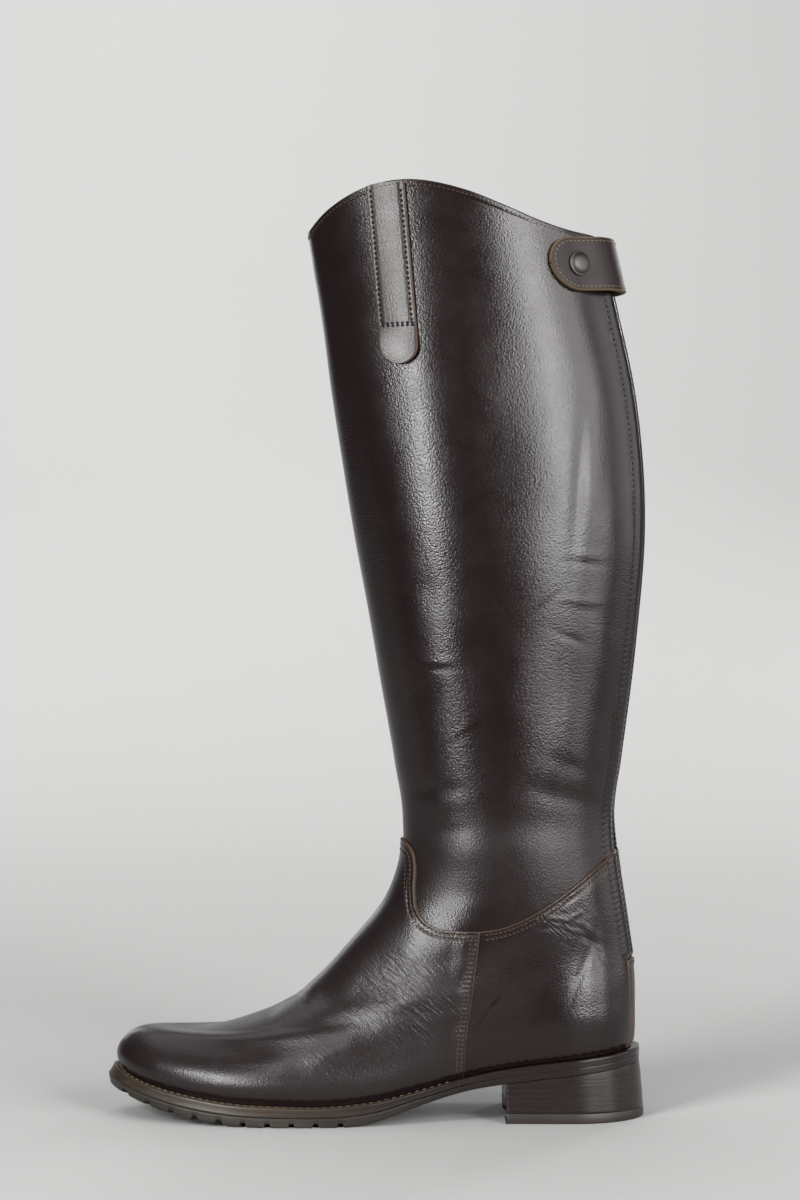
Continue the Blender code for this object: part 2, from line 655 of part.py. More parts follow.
def heel_ring(margin, back, height_of):
    line = outline(SOLE_MARGIN + margin, SOLE_FRONT, back, breast=HEEL_BREAST, count=16)
    return line, height_of(line[0])


def level_at(height):
    return lambda x: np.full_like(x, height)


def make_heel():
    """The stacked heel under the outsole, and the rubber lift that it walks on."""
    proud, flare = LIFT_PROUD, HEEL_BACK - SOLE_BACK
    plate("heel_stack", [heel_ring(-proud, SOLE_BACK - proud, lambda x: sole_bottom(x) - GAP),
                         heel_ring(-proud / 3, SOLE_BACK + flare * 0.6, level_at(HEEL_FLARE_Z)),
                         heel_ring(proud / 3, HEEL_BACK - proud, level_at(TOP_LIFT + GAP))], STACK)
    plate("top_lift", [heel_ring(proud * 2 / 3, HEEL_BACK - proud / 2, level_at(TOP_LIFT)),
                       heel_ring(proud, HEEL_BACK, level_at(LIFT_EDGE)),
                       heel_ring(proud - LIFT_EDGE, HEEL_BACK - LIFT_EDGE, level_at(0.0))], LIFT_RUBBER)


def make_insole():
    """The insole inside the upper's wall, lying on the welt."""
    inset = UPPER_WALL + INSOLE_CLEAR
    line = outline(-inset, TABLE["front_x"][0] + inset, TABLE["back_x"][0] - inset)
    bottom = sole_top(line[0]) + GAP
    plate("insole", [(line, bottom + INSOLE_THICK), (line, bottom)], LINING)


make_welt()
make_outsole()
make_heel()
make_insole()
make_upper()
make_vamp()
make_quarter("quarter_outer", -1)
make_quarter("quarter_inner", 1)
make_back_stay()
make_placket("zip_placket_outer", -1)
make_placket("zip_placket_inner", 1)
CHAIN_OUT = -UPPER_WALL - CHAIN_SUNK
TAPE_OUT = CHAIN_OUT - GAP - TAPE_THICK
make_zip_strip("zip_tape", TAPE_HALF, TAPE_OUT, TAPE_THICK, ZIP_TAPE, TAPE_DROP)
make_zip_strip("zip_chain", CHAIN_HALF, CHAIN_OUT, CHAIN_THICK, ZIP_CHAIN, CHAIN_DROP)
make_slider()
make_strap()
make_snap()
make_tab()
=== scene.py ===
import math

import bpy
import numpy as np
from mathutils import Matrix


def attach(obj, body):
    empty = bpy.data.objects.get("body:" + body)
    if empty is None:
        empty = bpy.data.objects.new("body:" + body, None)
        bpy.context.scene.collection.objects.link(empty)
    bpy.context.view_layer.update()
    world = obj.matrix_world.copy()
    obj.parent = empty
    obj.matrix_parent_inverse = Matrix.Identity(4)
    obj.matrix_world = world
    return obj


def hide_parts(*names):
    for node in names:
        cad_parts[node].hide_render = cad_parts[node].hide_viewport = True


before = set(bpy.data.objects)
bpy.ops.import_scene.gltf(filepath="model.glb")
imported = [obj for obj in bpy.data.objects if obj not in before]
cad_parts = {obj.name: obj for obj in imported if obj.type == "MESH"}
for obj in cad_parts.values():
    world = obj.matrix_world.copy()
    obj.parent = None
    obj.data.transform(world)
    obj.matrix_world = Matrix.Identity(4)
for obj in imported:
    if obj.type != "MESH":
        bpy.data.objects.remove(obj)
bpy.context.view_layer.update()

# Upper: the leg and foot of the boot, cut from full-grain calf and pulled over a left-foot form.
# It is one hollow wall, open at the collar and along the zip, with the foot's panels sewn over it.
# Its surface is worked out in slanted sections, and every other leather piece is laid out on it.
MM = 0.001
WALL = 2.0
SEAT = 0.3
SECTION_COLUMNS = ("level", "front_x", "front_z", "back_x", "back_z", "half_front", "half_back",
                   "front_round", "back_round", "waist", "sag")
SECTIONS = (
    (0, -130.6, 25.0, 130.6, 36.2, 42.5, 30.6, 0.31, 0.135, 3.5, 1.00),     # feather line
    (8, -131.6, 31.6, 131.3, 44.0, 44.4, 32.0, 0.33, 0.140, 2.6, 0.86),     # toe wall
    (18, -128.2, 39.3, 131.4, 53.0, 42.4, 33.0, 0.38, 0.150, 1.6, 0.76),    # toe crown
    (32, -117.8, 46.4, 131.4, 62.0, 39.6, 33.2, 0.56, 0.170, 0.8, 0.55),    # toe top
    (48, -90.2, 45.4, 131.2, 71.0, 40.2, 33.0, 0.74, 0.200, 0.3, 0.22),     # ball
    (66, -59.8, 51.0, 130.3, 80.0, 41.6, 32.6, 0.80, 0.240, 0.0, 0.04),     # flex line
    (82, -40.0, 60.0, 129.0, 90.0, 41.0, 32.6, 0.80, 0.280, 0.0, 0.0),      # vamp
    (105, -12.2, 87.2, 126.6, 105.5, 39.5, 33.4, 0.72, 0.340, 0.0, 0.0),    # instep
    (125, 6.9, 112.0, 123.7, 123.0, 38.0, 34.8, 0.60, 0.410, 0.0, 0.0),     # ankle bend
    (140, 13.9, 132.0, 121.7, 139.0, 37.0, 36.0, 0.53, 0.470, 0.0, 0.0),    # ankle
    (152, 14.0, 150.0, 121.0, 152.0, 36.8, 36.6, 0.50, 0.50, 0.0, 0.0),     # throat
    (181, 9.6, 181.0, 124.5, 181.0, 37.6, 37.4, 0.50, 0.50, 0.0, 0.0),
    (243, -1.3, 243.0, 132.2, 243.0, 39.0, 39.0, 0.50, 0.50, 0.0, 0.0),
    (305, -12.1, 305.0, 136.7, 305.0, 40.4, 40.4, 0.50, 0.50, 0.0, 0.0),    # calf
    (366, -21.8, 366.0, 132.3, 366.0, 40.2, 40.2, 0.50, 0.50, 0.0, 0.0),
    (418, -29.2, 418.0, 121.4, 418.0, 39.2, 39.2, 0.54, 0.46, 0.0, 0.0),
    (451, -34.7, 451.0, 113.8, 451.0, 38.4, 38.4, 0.56, 0.44, 0.0, 0.0),    # collar at the shin
    (480, -39.0, 480.0, 106.0, 480.0, 37.8, 37.8, 0.57, 0.43, 0.0, 0.0),    # above the collar
)
SECTION_TABLE = dict(zip(SECTION_COLUMNS, np.array(SECTIONS, float).T))
SOLE_X = (-137.5, -130.0, -124.0, -112.0, -90.0, -70.0, -50.0, -18.0, 0.0, 20.0, 45.0, 67.0, 100.0, 120.0,
          137.5)
SOLE_TOP = (27.6, 23.6, 20.9, 17.6, 13.6, 11.2, 10.3, 10.4, 12.3, 16.8, 23.2, 27.4, 31.5, 33.6, 36.0)
COLLAR_SHARE = (0.0, 0.06, 0.16, 0.26, 0.36, 0.56, 0.70, 0.80, 0.90, 1.0)
COLLAR_HEIGHT = (451.0, 458.6, 467.2, 472.2, 474.0, 468.8, 460.4, 454.0, 449.8, 448.4)
SLIT_HALF = 3.0
STRETCH_LEVEL = 366
TOP_LEVEL = 480
HEM_DEPTH = 2.2


def smooth(knots, values, at):
    """A cubic through the knots, whose slope at each knot comes from its two neighbours."""
    knots, values = np.asarray(knots, float), np.asarray(values, float)
    at = np.clip(np.asarray(at, float), knots[0], knots[-1])
    steps = np.diff(knots)
    rises = np.diff(values) / steps
    inner = (steps[1:] * rises[:-1] + steps[:-1] * rises[1:]) / (steps[1:] + steps[:-1])
    slopes = np.concatenate([rises[:1], inner, rises[-1:]])
    i = np.clip(np.searchsorted(knots, at, side="right") - 1, 0, len(steps) - 1)
    h = steps[i]
    s = (at - knots[i]) / h
    start = (1 + 2 * s) * (1 - s) ** 2 * values[i] + s * (1 - s) ** 2 * h * slopes[i]
    end = s * s * (3 - 2 * s) * values[i + 1] + s * s * (s - 1) * h * slopes[i + 1]
    return start + end


def ease(low, high, at):
    """Rises smoothly from 0 at low to 1 at high."""
    s = np.clip((np.asarray(at, float) - low) / (high - low), 0, 1)
    return s * s * (3 - 2 * s)


def round_end(share):
    """A quarter of an ellipse: 0 at the end of a section, 1 where its round end is over."""
    return np.sqrt(np.maximum(1 - (1 - np.clip(share, 0, 1)) ** 2, 0))


def middle_line(x):
    """The y of the foot's middle: it swings inwards at the toe and a little outwards at the waist."""
    toe = np.maximum((-15 - x) / 122, 0) ** 1.7
    waist = np.exp(-((x - 25) / 38) ** 2)
    return 6.0 * toe - 2.0 * waist


def sole_top(x):
    """The height of the welt's top along the boot."""
    return smooth(SOLE_X, SOLE_TOP, x)


def section(level):
    """Every column of the table, at any level."""
    return {name: smooth(SECTION_TABLE["level"], SECTION_TABLE[name], level) for name in SECTION_COLUMNS}


def half_width(part, share):
    """Half a section's width: ball blending to heel, less the waist, times its two elliptical ends."""
    body = part["half_front"] + (part["half_back"] - part["half_front"]) * ease(0.33, 0.80, share)
    waist = part["waist"] * np.exp(-((share - 0.62) / 0.13) ** 2)
    ends = round_end(share / part["front_round"]) * round_end((1 - share) / part["back_round"])
    return (body - waist) * ends


def share_of(turn):
    """How far along its section a turn lies, from 0 at the front to 1 at the back."""
    return (1 - np.cos(np.pi * np.abs(turn))) / 2


def upper_base(level, turn):
    """A point of the outer face: the section's line bent to the sole, and half its width to either side."""
    part = section(level)
    share = share_of(turn)
    x = part["front_x"] + share * (part["back_x"] - part["front_x"])
    line = part["front_z"] + share * (part["back_z"] - part["front_z"])
    front_z, back_z = SECTION_TABLE["front_z"][0], SECTION_TABLE["back_z"][0]
    feather = front_z + share * (back_z - front_z)
    z = line + part["sag"] * (sole_top(x) + SEAT - feather)
    y = middle_line(x) + np.sign(turn) * half_width(part, share)
    return np.stack([x, y, z], axis=-1)


def wrap(turn):
    """Brings a turn that has passed the back middle round to the other side."""
    return np.where(turn > 1, turn - 2, np.where(turn < -1, turn + 2, turn))


def upper_normal(level, turn):
    """The unit normal, from the cross product of two short steps on the face."""
    level, turn = np.broadcast_arrays(np.asarray(level, float), np.asarray(turn, float))
    up = upper_base(level + 0.25, turn) - upper_base(level - 0.25, turn)
    around = upper_base(level, wrap(turn + 0.002)) - upper_base(level, wrap(turn - 0.002))
    normal = np.cross(up, around)
    return normal / np.linalg.norm(normal, axis=-1, keepdims=True)


def upper_point(level, turn, out=0.0):
    """A point that lies out of the outer face by so many millimetres, along its normal."""
    level, turn, out = np.broadcast_arrays(*(np.asarray(a, float) for a in (level, turn, out)))
    return upper_base(level, turn) + upper_normal(level, turn) * out[..., None]


def turn_at_x(level, x, side):
    """The turn at which a section passes x, on the outer side (-1) or the inner one (1)."""
    part = section(level)
    share = (x - part["front_x"]) / (part["back_x"] - part["front_x"])
    return side * np.arccos(np.clip(1 - 2 * share, -1, 1)) / np.pi


def lay(x, z, side):
    """The level and turn of a place seen from the side at x and z, by halving the range of levels."""
    x, z = np.broadcast_arrays(np.asarray(x, float), np.asarray(z, float))
    low, high = np.zeros(x.shape), np.full(x.shape, float(TOP_LEVEL))
    for _ in range(36):
        mid = (low + high) / 2
        below = upper_base(mid, turn_at_x(mid, x, side))[..., 2] < z
        low, high = np.where(below, mid, low), np.where(below, high, mid)
    return low, turn_at_x(low, x, side)


def turn_beside_zip(level, distance):
    """The turn, from 0.55 to 1, at which a section lies that far from its back middle."""
    level, distance = np.broadcast_arrays(np.asarray(level, float), np.asarray(distance, float))
    low, high = np.full(level.shape, 0.55), np.ones(level.shape)
    part = section(level)
    for _ in range(36):
        mid = (low + high) / 2
        beyond = half_width(part, share_of(mid)) > distance
        low, high = np.where(beyond, mid, low), np.where(beyond, high, mid)
    return (low + high) / 2


def collar_level(turn):
    """The level of the collar's edge."""
    return smooth(COLLAR_SHARE, COLLAR_HEIGHT, share_of(turn))


def bend_to_collar(level, turn):
    """The rows of the leg, of which the upper ones bend up to the collar's curve."""
    stretch = np.clip((level - STRETCH_LEVEL) / (TOP_LEVEL - STRETCH_LEVEL), 0, 1)
    return level + stretch * (collar_level(turn) - TOP_LEVEL)


# The leg's dents and creases in the side view's millimetres: middle x and z, half length, half width, the
# direction of the length in degrees (0 is to the rear, 90 is up), and how far it stands out.
LEG_CREASES = (
    # Two long folds behind the calf, and the short cross creases below them
    (102.5, 322.0, 34.0, 3.2, 86, -0.5), (109.5, 318.0, 32.0, 4.5, 86, 0.3),
    (106.5, 282.0, 10.0, 1.4, -6, -0.18), (108.0, 286.0, 9.0, 2.4, -4, 0.16),
    (84.8, 262.5, 8.0, 1.2, 40, 0.28), (83.0, 259.5, 8.0, 1.3, 40, -0.28),
    (88.0, 264.5, 7.0, 1.2, 36, -0.2), (104.0, 262.5, 9.0, 1.6, -6, 0.18),
    (108.0, 259.5, 11.0, 1.1, -8, -0.2), (112.0, 255.5, 11.0, 1.1, -10, -0.18),
    (116.0, 251.0, 9.0, 1.0, -12, -0.15), (99.0, 244.0, 9.0, 1.4, -24, -0.22),
    (94.3, 215.0, 17.0, 1.2, 89, -0.18),
    # Marks down the shin
    (32.0, 229.0, 9.0, 1.3, 2, -0.22), (32.0, 231.8, 9.0, 1.8, 2, 0.18),
    (45.0, 196.5, 12.0, 0.9, 36, -0.2), (46.0, 198.8, 11.0, 1.4, 36, 0.14),
    (27.0, 268.0, 6.0, 9.0, 0, -0.28), (26.0, 214.0, 8.0, 8.0, 10, -0.3),
    # Folds where the leg settles on the ankle
    (30.0, 168.0, 13.0, 3.4, 4, -0.32), (29.0, 160.0, 12.0, 4.0, 4, 0.24),
    (34.0, 147.0, 13.0, 3.4, 6, -0.32), (70.0, 150.0, 26.0, 8.0, -8, -0.45),
    (96.0, 164.0, 18.0, 5.0, -16, -0.35), (104.0, 178.0, 15.0, 4.0, -20, -0.25),
    (44.0, 136.0, 24.0, 8.0, 4, 0.7), (44.0, 114.0, 24.0, 8.0, 4, -0.7),
    # Broad hollows between shin and calf
    (58.0, 240.0, 26.0, 16.0, 60, -0.4), (84.0, 210.0, 24.0, 12.0, 70, -0.4),
    (66.0, 330.0, 60.0, 18.0, 84, -0.4), (10.0, 380.0, 46.0, 9.0, 97, -0.3),
)


def creases(table, x, z):
    """Sums soft troughs and ridges, each the product of a bell curve along its length and one across it."""
    out = np.zeros(np.shape(x))
    for middle_x, middle_z, length, width, angle, rise in table:
        along_x, along_z = math.cos(math.radians(angle)), math.sin(math.radians(angle))
        along = ((x - middle_x) * along_x + (z - middle_z) * along_z) / length
        across = (-(x - middle_x) * along_z + (z - middle_z) * along_x) / width
        out = out + rise * np.exp(-along ** 2 - across ** 2)
    return out


def hide_wave(x, y, z):
    """The faint unevenness of hide over a form: three long waves in different directions."""
    return (0.16 * np.sin(x / 17 + z / 41 + y / 23) + 0.13 * np.sin(z / 26 - x / 33 + 1.3 + y / 15)
            + 0.09 * np.sin(z / 11 + x / 19 + y / 12 + 0.6))


def leg_out(level, turn):
    """How far the leg's hide stands out: creases, waves, and the folded hem along the collar."""
    x, y, z = np.moveaxis(upper_base(level, turn), -1, 0)
    outer, inner = creases(LEG_CREASES, x, z), creases(LEG_CREASES, 129 - 0.95 * x, z + 9)
    below = collar_level(turn) - level
    worn = np.where(y < 0, outer, inner) * ease(4, 14, np.abs(y)) + hide_wave(x, y, z)
    hem = 0.25 * (1 - ease(HEM_DEPTH, HEM_DEPTH + 0.9, below))
    return worn * ease(2, 30, below) + hem


def spread(*parts):
    """A rising run of values: each part is a start, an end and a count, and shared ends are kept once."""
    return np.unique(np.round(np.concatenate([np.linspace(a, b, n) for a, b, n in parts]), 6))


def grid_object(name, points, material, closed=False, flip=False, attributes=None):
    """A mesh over rows and columns of points in millimetres, or over many such blocks at once.

    closed joins the last column to the first, and flip turns the faces round."""
    rows, columns = points.shape[-3:-1]
    index = np.arange(points[..., 0].size).reshape(-1, rows, columns)
    if closed:
        index = np.concatenate([index, index[..., :1]], axis=-1)
    corners = index[:, :-1, :-1], index[:, 1:, :-1], index[:, 1:, 1:], index[:, :-1, 1:]
    quads = np.stack(corners[::-1] if flip else corners, axis=-1).reshape(-1, 4)
    mesh = bpy.data.meshes.new(name)
    mesh.from_pydata((points.reshape(-1, 3) * MM).tolist(), [], quads.tolist())
    for label, values in (attributes or {}).items():
        flat = np.broadcast_to(values, points.shape[:-1]).astype(np.float32).ravel()
        mesh.attributes.new(label, "FLOAT", "POINT").data.foreach_set("value", flat)
    mesh.shade_smooth()
    mesh.materials.append(material)
    made = bpy.data.objects.new(name, mesh)
    bpy.context.scene.collection.objects.link(made)
    return made


def linear(code):
    """An sRGB hex colour as the linear values that a shader takes."""
    parts = [int(code[i:i + 2], 16) / 255 for i in (0, 2, 4)]
    return [c / 12.92 if c <= 0.04045 else ((c + 0.055) / 1.055) ** 2.4 for c in parts] + [1.0]


def add_node(tree, kind, fields=None, values=None, links=None):
    """Adds one shader node, sets its fields and socket values, and links what feeds it."""
    made = tree.nodes.new(kind)
    for name, value in (fields or {}).items():
        setattr(made, name, value)
    for socket, value in (values or {}).items():
        made.inputs[socket].default_value = value
    for socket, source in (links or {}).items():
        tree.links.new(source, made.inputs[socket])
    return made


def new_material(name, **settings):
    """A Principled material with some of its sockets set: its tree, its shader and the material itself."""
    made = bpy.data.materials.new(name)
    made.use_nodes = True
    shader = made.node_tree.nodes["Principled BSDF"]
    for socket, value in settings.items():
        shader.inputs[socket.replace("_", " ")].default_value = value
    return made.node_tree, shader, made


# Aniline-dyed calf with a light wax finish: dark, slightly red brown that drifts a little over the hide,
# a fine pebble grain that only the highlights show, and a satin gloss that is uneven where it was creased.
# The grain is really about 0.6 mm across, drawn half as large again so that the render can hold it.
GRAIN_MM = 0.95
PORE_MM = 0.6
SHRINK_MM = 2.0
WRINKLE_MM = (9.0, 9.0, 1.7)
WRINKLE_ANGLE = 40


def calf_leather(name, main, deep, cut="7A5B36", gloss=0.36, grain=1.0, ior=1.4):
    """Brown calf: two browns, satin gloss, pebble grain.

    The attribute cut shows the raw edge's colour, dull takes the polish off where the boot bends, and flex
    gives a bend its fine slanting wrinkles."""
    tree, shader, made = new_material(name, IOR=ior)
    place = add_node(tree, "ShaderNodeTexCoord").outputs["Object"]
    drift = add_node(tree, "ShaderNodeTexNoise", values={"Scale": 1 / (55 * MM), "Detail": 4.0},
                     links={"Vector": place})
    tone = add_node(tree, "ShaderNodeMix", {"data_type": "RGBA"}, {"A": linear(main), "B": linear(deep)},
                    {"Factor": drift.outputs["Fac"]})
    edge = add_node(tree, "ShaderNodeAttribute", {"attribute_name": "cut"})
    fibre = add_node(tree, "ShaderNodeTexNoise", values={"Scale": 1 / (1.6 * MM), "Detail": 3.0},
                     links={"Vector": place})
    worn = add_node(tree, "ShaderNodeMath", {"operation": "MULTIPLY_ADD"}, {1: 0.6, 2: 0.65},
                    {0: fibre.outputs["Fac"]})
    bare = add_node(tree, "ShaderNodeMath", {"operation": "MULTIPLY", "use_clamp": True},
                    links={0: edge.outputs["Fac"], 1: worn.outputs[0]})
    hide = add_node(tree, "ShaderNodeMix", {"data_type": "RGBA"}, {"B": linear(cut)},
                    {"Factor": bare.outputs[0], "A": tone.outputs["Result"]})
    tree.links.new(hide.outputs["Result"], shader.inputs["Base Color"])
    patch = add_node(tree, "ShaderNodeTexNoise", links={"Vector": place}, values={
        "Scale": 1 / (14 * MM), "Detail": 5.0, "Roughness": 0.6})
    sheen = add_node(tree, "ShaderNodeMapRange", links={"Value": patch.outputs["Fac"]}, values={
        "From Min": 0.3, "From Max": 0.7, "To Min": gloss - 0.03, "To Max": gloss + 0.05})
    rough = add_node(tree, "ShaderNodeMath", {"operation": "MULTIPLY_ADD"}, {1: 0.4},
                     {0: bare.outputs[0], 2: sheen.outputs["Result"]})
    handled = add_node(tree, "ShaderNodeAttribute", {"attribute_name": "dull"})
    dull = add_node(tree, "ShaderNodeMath", {"operation": "MULTIPLY_ADD"}, {1: 0.2},
                    {0: handled.outputs["Fac"], 2: rough.outputs[0]})
    tree.links.new(dull.outputs[0], shader.inputs["Roughness"])
    pebble = add_node(tree, "ShaderNodeTexVoronoi", {"feature": "SMOOTH_F1"},
                      {"Scale": 1 / (GRAIN_MM * MM), "Smoothness": 0.35}, {"Vector": place})
    pore = add_node(tree, "ShaderNodeTexNoise", values={"Scale": 1 / (PORE_MM * MM), "Detail": 2.0},
                    links={"Vector": place})
    shrink = add_node(tree, "ShaderNodeTexNoise", values={"Scale": 1 / (SHRINK_MM * MM), "Detail": 3.0},
                      links={"Vector": place})
    bump = add_node(tree, "ShaderNodeBump", {"invert": True},
                    {"Strength": 0.24 * grain, "Distance": 0.3 * MM}, {"Height": pebble.outputs["Distance"]})
    bump = add_node(tree, "ShaderNodeBump", None, {"Strength": 0.17 * grain, "Distance": 0.2 * MM},
                    {"Height": pore.outputs["Fac"], "Normal": bump.outputs["Normal"]})
    bump = add_node(tree, "ShaderNodeBump", None, {"Strength": 0.055 * grain, "Distance": 0.4 * MM},
                    {"Height": shrink.outputs["Fac"], "Normal": bump.outputs["Normal"]})
    bent = add_node(tree, "ShaderNodeAttribute", {"attribute_name": "flex"})
    lie = add_node(tree, "ShaderNodeMapping", {"vector_type": "TEXTURE"},
                   {"Rotation": (0, math.radians(WRINKLE_ANGLE), 0),
                    "Scale": [size * MM for size in WRINKLE_MM]}, {"Vector": place})
    fold = add_node(tree, "ShaderNodeTexNoise", values={"Scale": 1.0, "Detail": 3.0, "Distortion": 0.6},
                    links={"Vector": lie.outputs["Vector"]})
    depth = add_node(tree, "ShaderNodeMath", {"operation": "MULTIPLY"},
                     links={0: fold.outputs["Fac"], 1: bent.outputs["Fac"]})
    bump = add_node(tree, "ShaderNodeBump", None, {"Strength": 0.9, "Distance": 1.0 * MM},
                    {"Height": depth.outputs[0], "Normal": bump.outputs["Normal"]})
    tree.links.new(bump.outputs["Normal"], shader.inputs["Normal"])
    return made


CALF = calf_leather("waxed_brown_calf", "180E0F", "110A0A", cut="3C2A1B", gloss=0.21)
# Lining calf, undyed and unpolished: a paler, matt brown.
LINING_CALF = calf_leather("lining_calf", "5A4636", "4A392C", gloss=0.55, grain=0.5)


def leg_grid(level, columns):
    """Levels and turns of the leg: rows bent to the collar, columns from one zip edge to the other."""
    turn = np.linspace(-1, 1, columns)[None, :] * turn_beside_zip(level, SLIT_HALF)[:, None]
    rows = bend_to_collar(level[:, None], turn)
    return rows, np.sign(turn) * np.minimum(np.abs(turn), turn_beside_zip(rows, SLIT_HALF))


def make_leg():
    """The outer face with the collar's edge rolled over it in half a circle as wide as the wall."""
    level = spread((70, 100, 8), (100, 190, 90), (190, 468, 150), (468, TOP_LEVEL, 18))
    rows, turn = leg_grid(level, 261)
    face = upper_point(rows, turn, leg_out(rows, turn))
    roll = np.linspace(0, np.pi, 9)[1:, None]
    rim_out = 0.25 - (WALL + 0.25) / 2 * (1 - np.cos(roll))
    top = upper_point(rows[-1:], turn[-1:], rim_out) + np.array([0, 0, 0.8]) * np.sin(roll)[..., None]
    points = np.concatenate([face, top])
    ankle = np.exp(-((points[..., 2] - 134) / 28) ** 2)
    return grid_object("leg", points, CALF, attributes={"cut": 0.0, "dull": 0.75 * ankle})


def make_lining():
    """The inner face of the wall, from the feather line to the collar's inner edge."""
    rows, turn = leg_grid(spread((0, 160, 40), (160, TOP_LEVEL, 60)), 121)
    points = upper_point(rows, turn, -WALL)
    return grid_object("leg_lining", points, LINING_CALF, flip=True, attributes={"cut": 0.0})


for piece in (make_leg(), make_lining()):
    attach(piece, "root")
    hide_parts("upper")

# Vamp: the front panel of the foot with a tongue up the shin, of the same calf, lasted over the toe.
# It laps over the quarters at the side seams, and two rows of stitches hold its raw edge down.
# Seams are given as the side view shows them, in pairs of x and z.
VAMP_CALF = calf_leather("soft_brown_calf", "180E0F", "110A0A", cut="3C2A1B", gloss=0.3, ior=1.45)
PANEL_THICK = 1.3
SEAM_LAP = 0.9
STITCH_ROWS = (1.9, 4.2)
STITCH_PITCH = 2.3
SIDE_SEAM = ((44.5, 23.4), (45.6, 40.0), (49.4, 70.0), (52.8, 97.0))
VAMP_TOP = ((52.8, 97.0), (42.0, 97.2), (32.5, 98.2), (26.0, 101.0), (21.8, 106.4), (20.4, 116.0),
            (20.8, 129.0), (19.6, 135.6), (17.2, 139.2), (14.7, 141.0))
TONGUE_TOP = 141.6
VAMP_CREASES = (
    # Short creases across the flex line
    (-55.5, 55.0, 6.0, 0.8, 82, -0.2), (-53.2, 55.5, 5.0, 0.8, 86, -0.18),
    (-39.5, 61.0, 7.0, 0.8, 88, -0.24), (-36.5, 62.0, 6.0, 0.8, 84, -0.2),
    (-46.0, 58.0, 8.0, 3.4, 84, 0.25), (-31.5, 66.0, 8.0, 3.0, 80, 0.25),
    # Creases low on the side, behind the ball
    (-28.5, 30.0, 7.0, 0.9, 72, -0.3), (-26.0, 30.5, 8.0, 0.9, 68, -0.3),
    (-23.0, 32.0, 7.0, 1.0, 64, -0.25), (-27.3, 31.0, 7.0, 0.9, 70, 0.2),
    (-44.0, 30.0, 12.0, 6.0, 75, -0.3), (-24.0, 34.0, 15.0, 7.0, 25, 0.6),
    # Hollows and swells of the instep and the tongue
    (-20.0, 50.0, 16.0, 9.0, 40, -0.8), (-14.0, 62.0, 16.0, 5.0, 56, -0.2),
    (-8.0, 48.0, 18.0, 5.0, 60, -0.25), (-2.0, 68.0, 16.0, 14.0, 40, -0.8),
    (40.0, 58.0, 18.0, 16.0, 0, 1.1), (14.0, 86.0, 9.0, 7.0, 30, 0.5), (30.0, 82.0, 10.0, 6.0, 20, -0.5),
    (2.0, 112.0, 12.0, 4.0, 60, -0.35), (12.0, 124.0, 10.0, 4.0, 70, 0.25),
    # The toe's side, drawn in above and full just over the welt
    (-72.0, 38.0, 36.0, 9.0, -6, -1.6), (-70.0, 16.0, 36.0, 8.0, -6, 1.0),
)


def seam_line(controls, spacing):
    """A smooth side view line through its controls, in even steps."""
    controls = np.array(controls, float)
    run = np.concatenate([[0], np.cumsum(np.linalg.norm(np.diff(controls, axis=0), axis=1))])
    at = np.linspace(0, run[-1], int(run[-1] / spacing) + 1)
    return np.stack([smooth(run, controls[:, k], at) for k in (0, 1)], axis=-1)


def beside(line, distance):
    """A side view line moved to its left by a distance, square to its run."""
    step = np.gradient(line, axis=0)
    step /= np.linalg.norm(step, axis=1, keepdims=True)
    return line + distance * np.stack([-step[:, 1], step[:, 0]], axis=1)


def rim(points, line):
    """For each point its distance to a line, and how far along the line the nearest place lies."""
    run = np.concatenate([[0], np.cumsum(np.linalg.norm(np.diff(line, axis=0), axis=1))])
    gaps, runs = [], []
    for row in points:
        near = np.linalg.norm(row[:, None] - line[None], axis=-1).argmin(axis=1)
        gap = np.full(len(row), np.inf)
        place = run[near]
        for step in (-1, 1):
            other = np.clip(near + step, 0, len(line) - 1)
            leg = line[other] - line[near]
            span = np.maximum((leg * leg).sum(-1), 1e-9)
            share = np.clip(((row - line[near]) * leg).sum(-1) / span, 0, 1)
            away = np.linalg.norm(row - line[near] - share[:, None] * leg, axis=-1)
            place = np.where(away < gap, run[near] + share * (run[other] - run[near]), place)
            gap = np.minimum(gap, away)
        gaps.append(gap)
        runs.append(place)
    return np.array(gaps), np.array(runs)


def edge_drop(gap, radius):
    """How far a rounded edge falls below its panel's face, by the distance to the edge."""
    inside = np.clip(1 - gap / radius, 0, 1)
    return radius * (1 - np.sqrt(1 - inside ** 2))


def seam_pull(gap, run):
    """What the stitches do to a panel: two fine grooves along its edge, and small swells between them."""
    groove = sum(np.exp(-((gap - row) / 0.5) ** 2) for row in STITCH_ROWS)
    swell = np.sin(2 * np.pi * run / STITCH_PITCH) * np.exp(-((gap - sum(STITCH_ROWS) / 2) / 1.5) ** 2)
    return 0.09 * swell - 0.3 * groove


def panel_out(level, turn, raw_line, lap_line=None):
    """How far a foot panel's face stands out of the upper, and its distance to the raw edge.

    The face is one leather thick, falls off at its edge, is drawn in by stitches and rises at a lap."""
    points = upper_base(level, turn)
    gap, run = rim(points, raw_line)
    out = SEAT + PANEL_THICK - edge_drop(gap, 0.5) + seam_pull(gap, run)
    if lap_line is not None:
        out = out + SEAM_LAP * (1 - ease(4, 14, rim(points, lap_line)[0]))
    return out * (0.25 + 0.75 * ease(0, 4 + 0.9 * np.sin(points[..., 0] / 0.75), level)), gap


# Places that bend in wear: middle x and z, half length and half height in the side view, and how strongly.
FLEX_PLACES = ((14.0, 66.0, 26.0, 18.0, 1.0), (-38.0, 52.0, 16.0, 12.0, 0.3), (98.0, 100.0, 14.0, 9.0, 0.8),
               (-26.0, 30.0, 9.0, 9.0, 0.25))


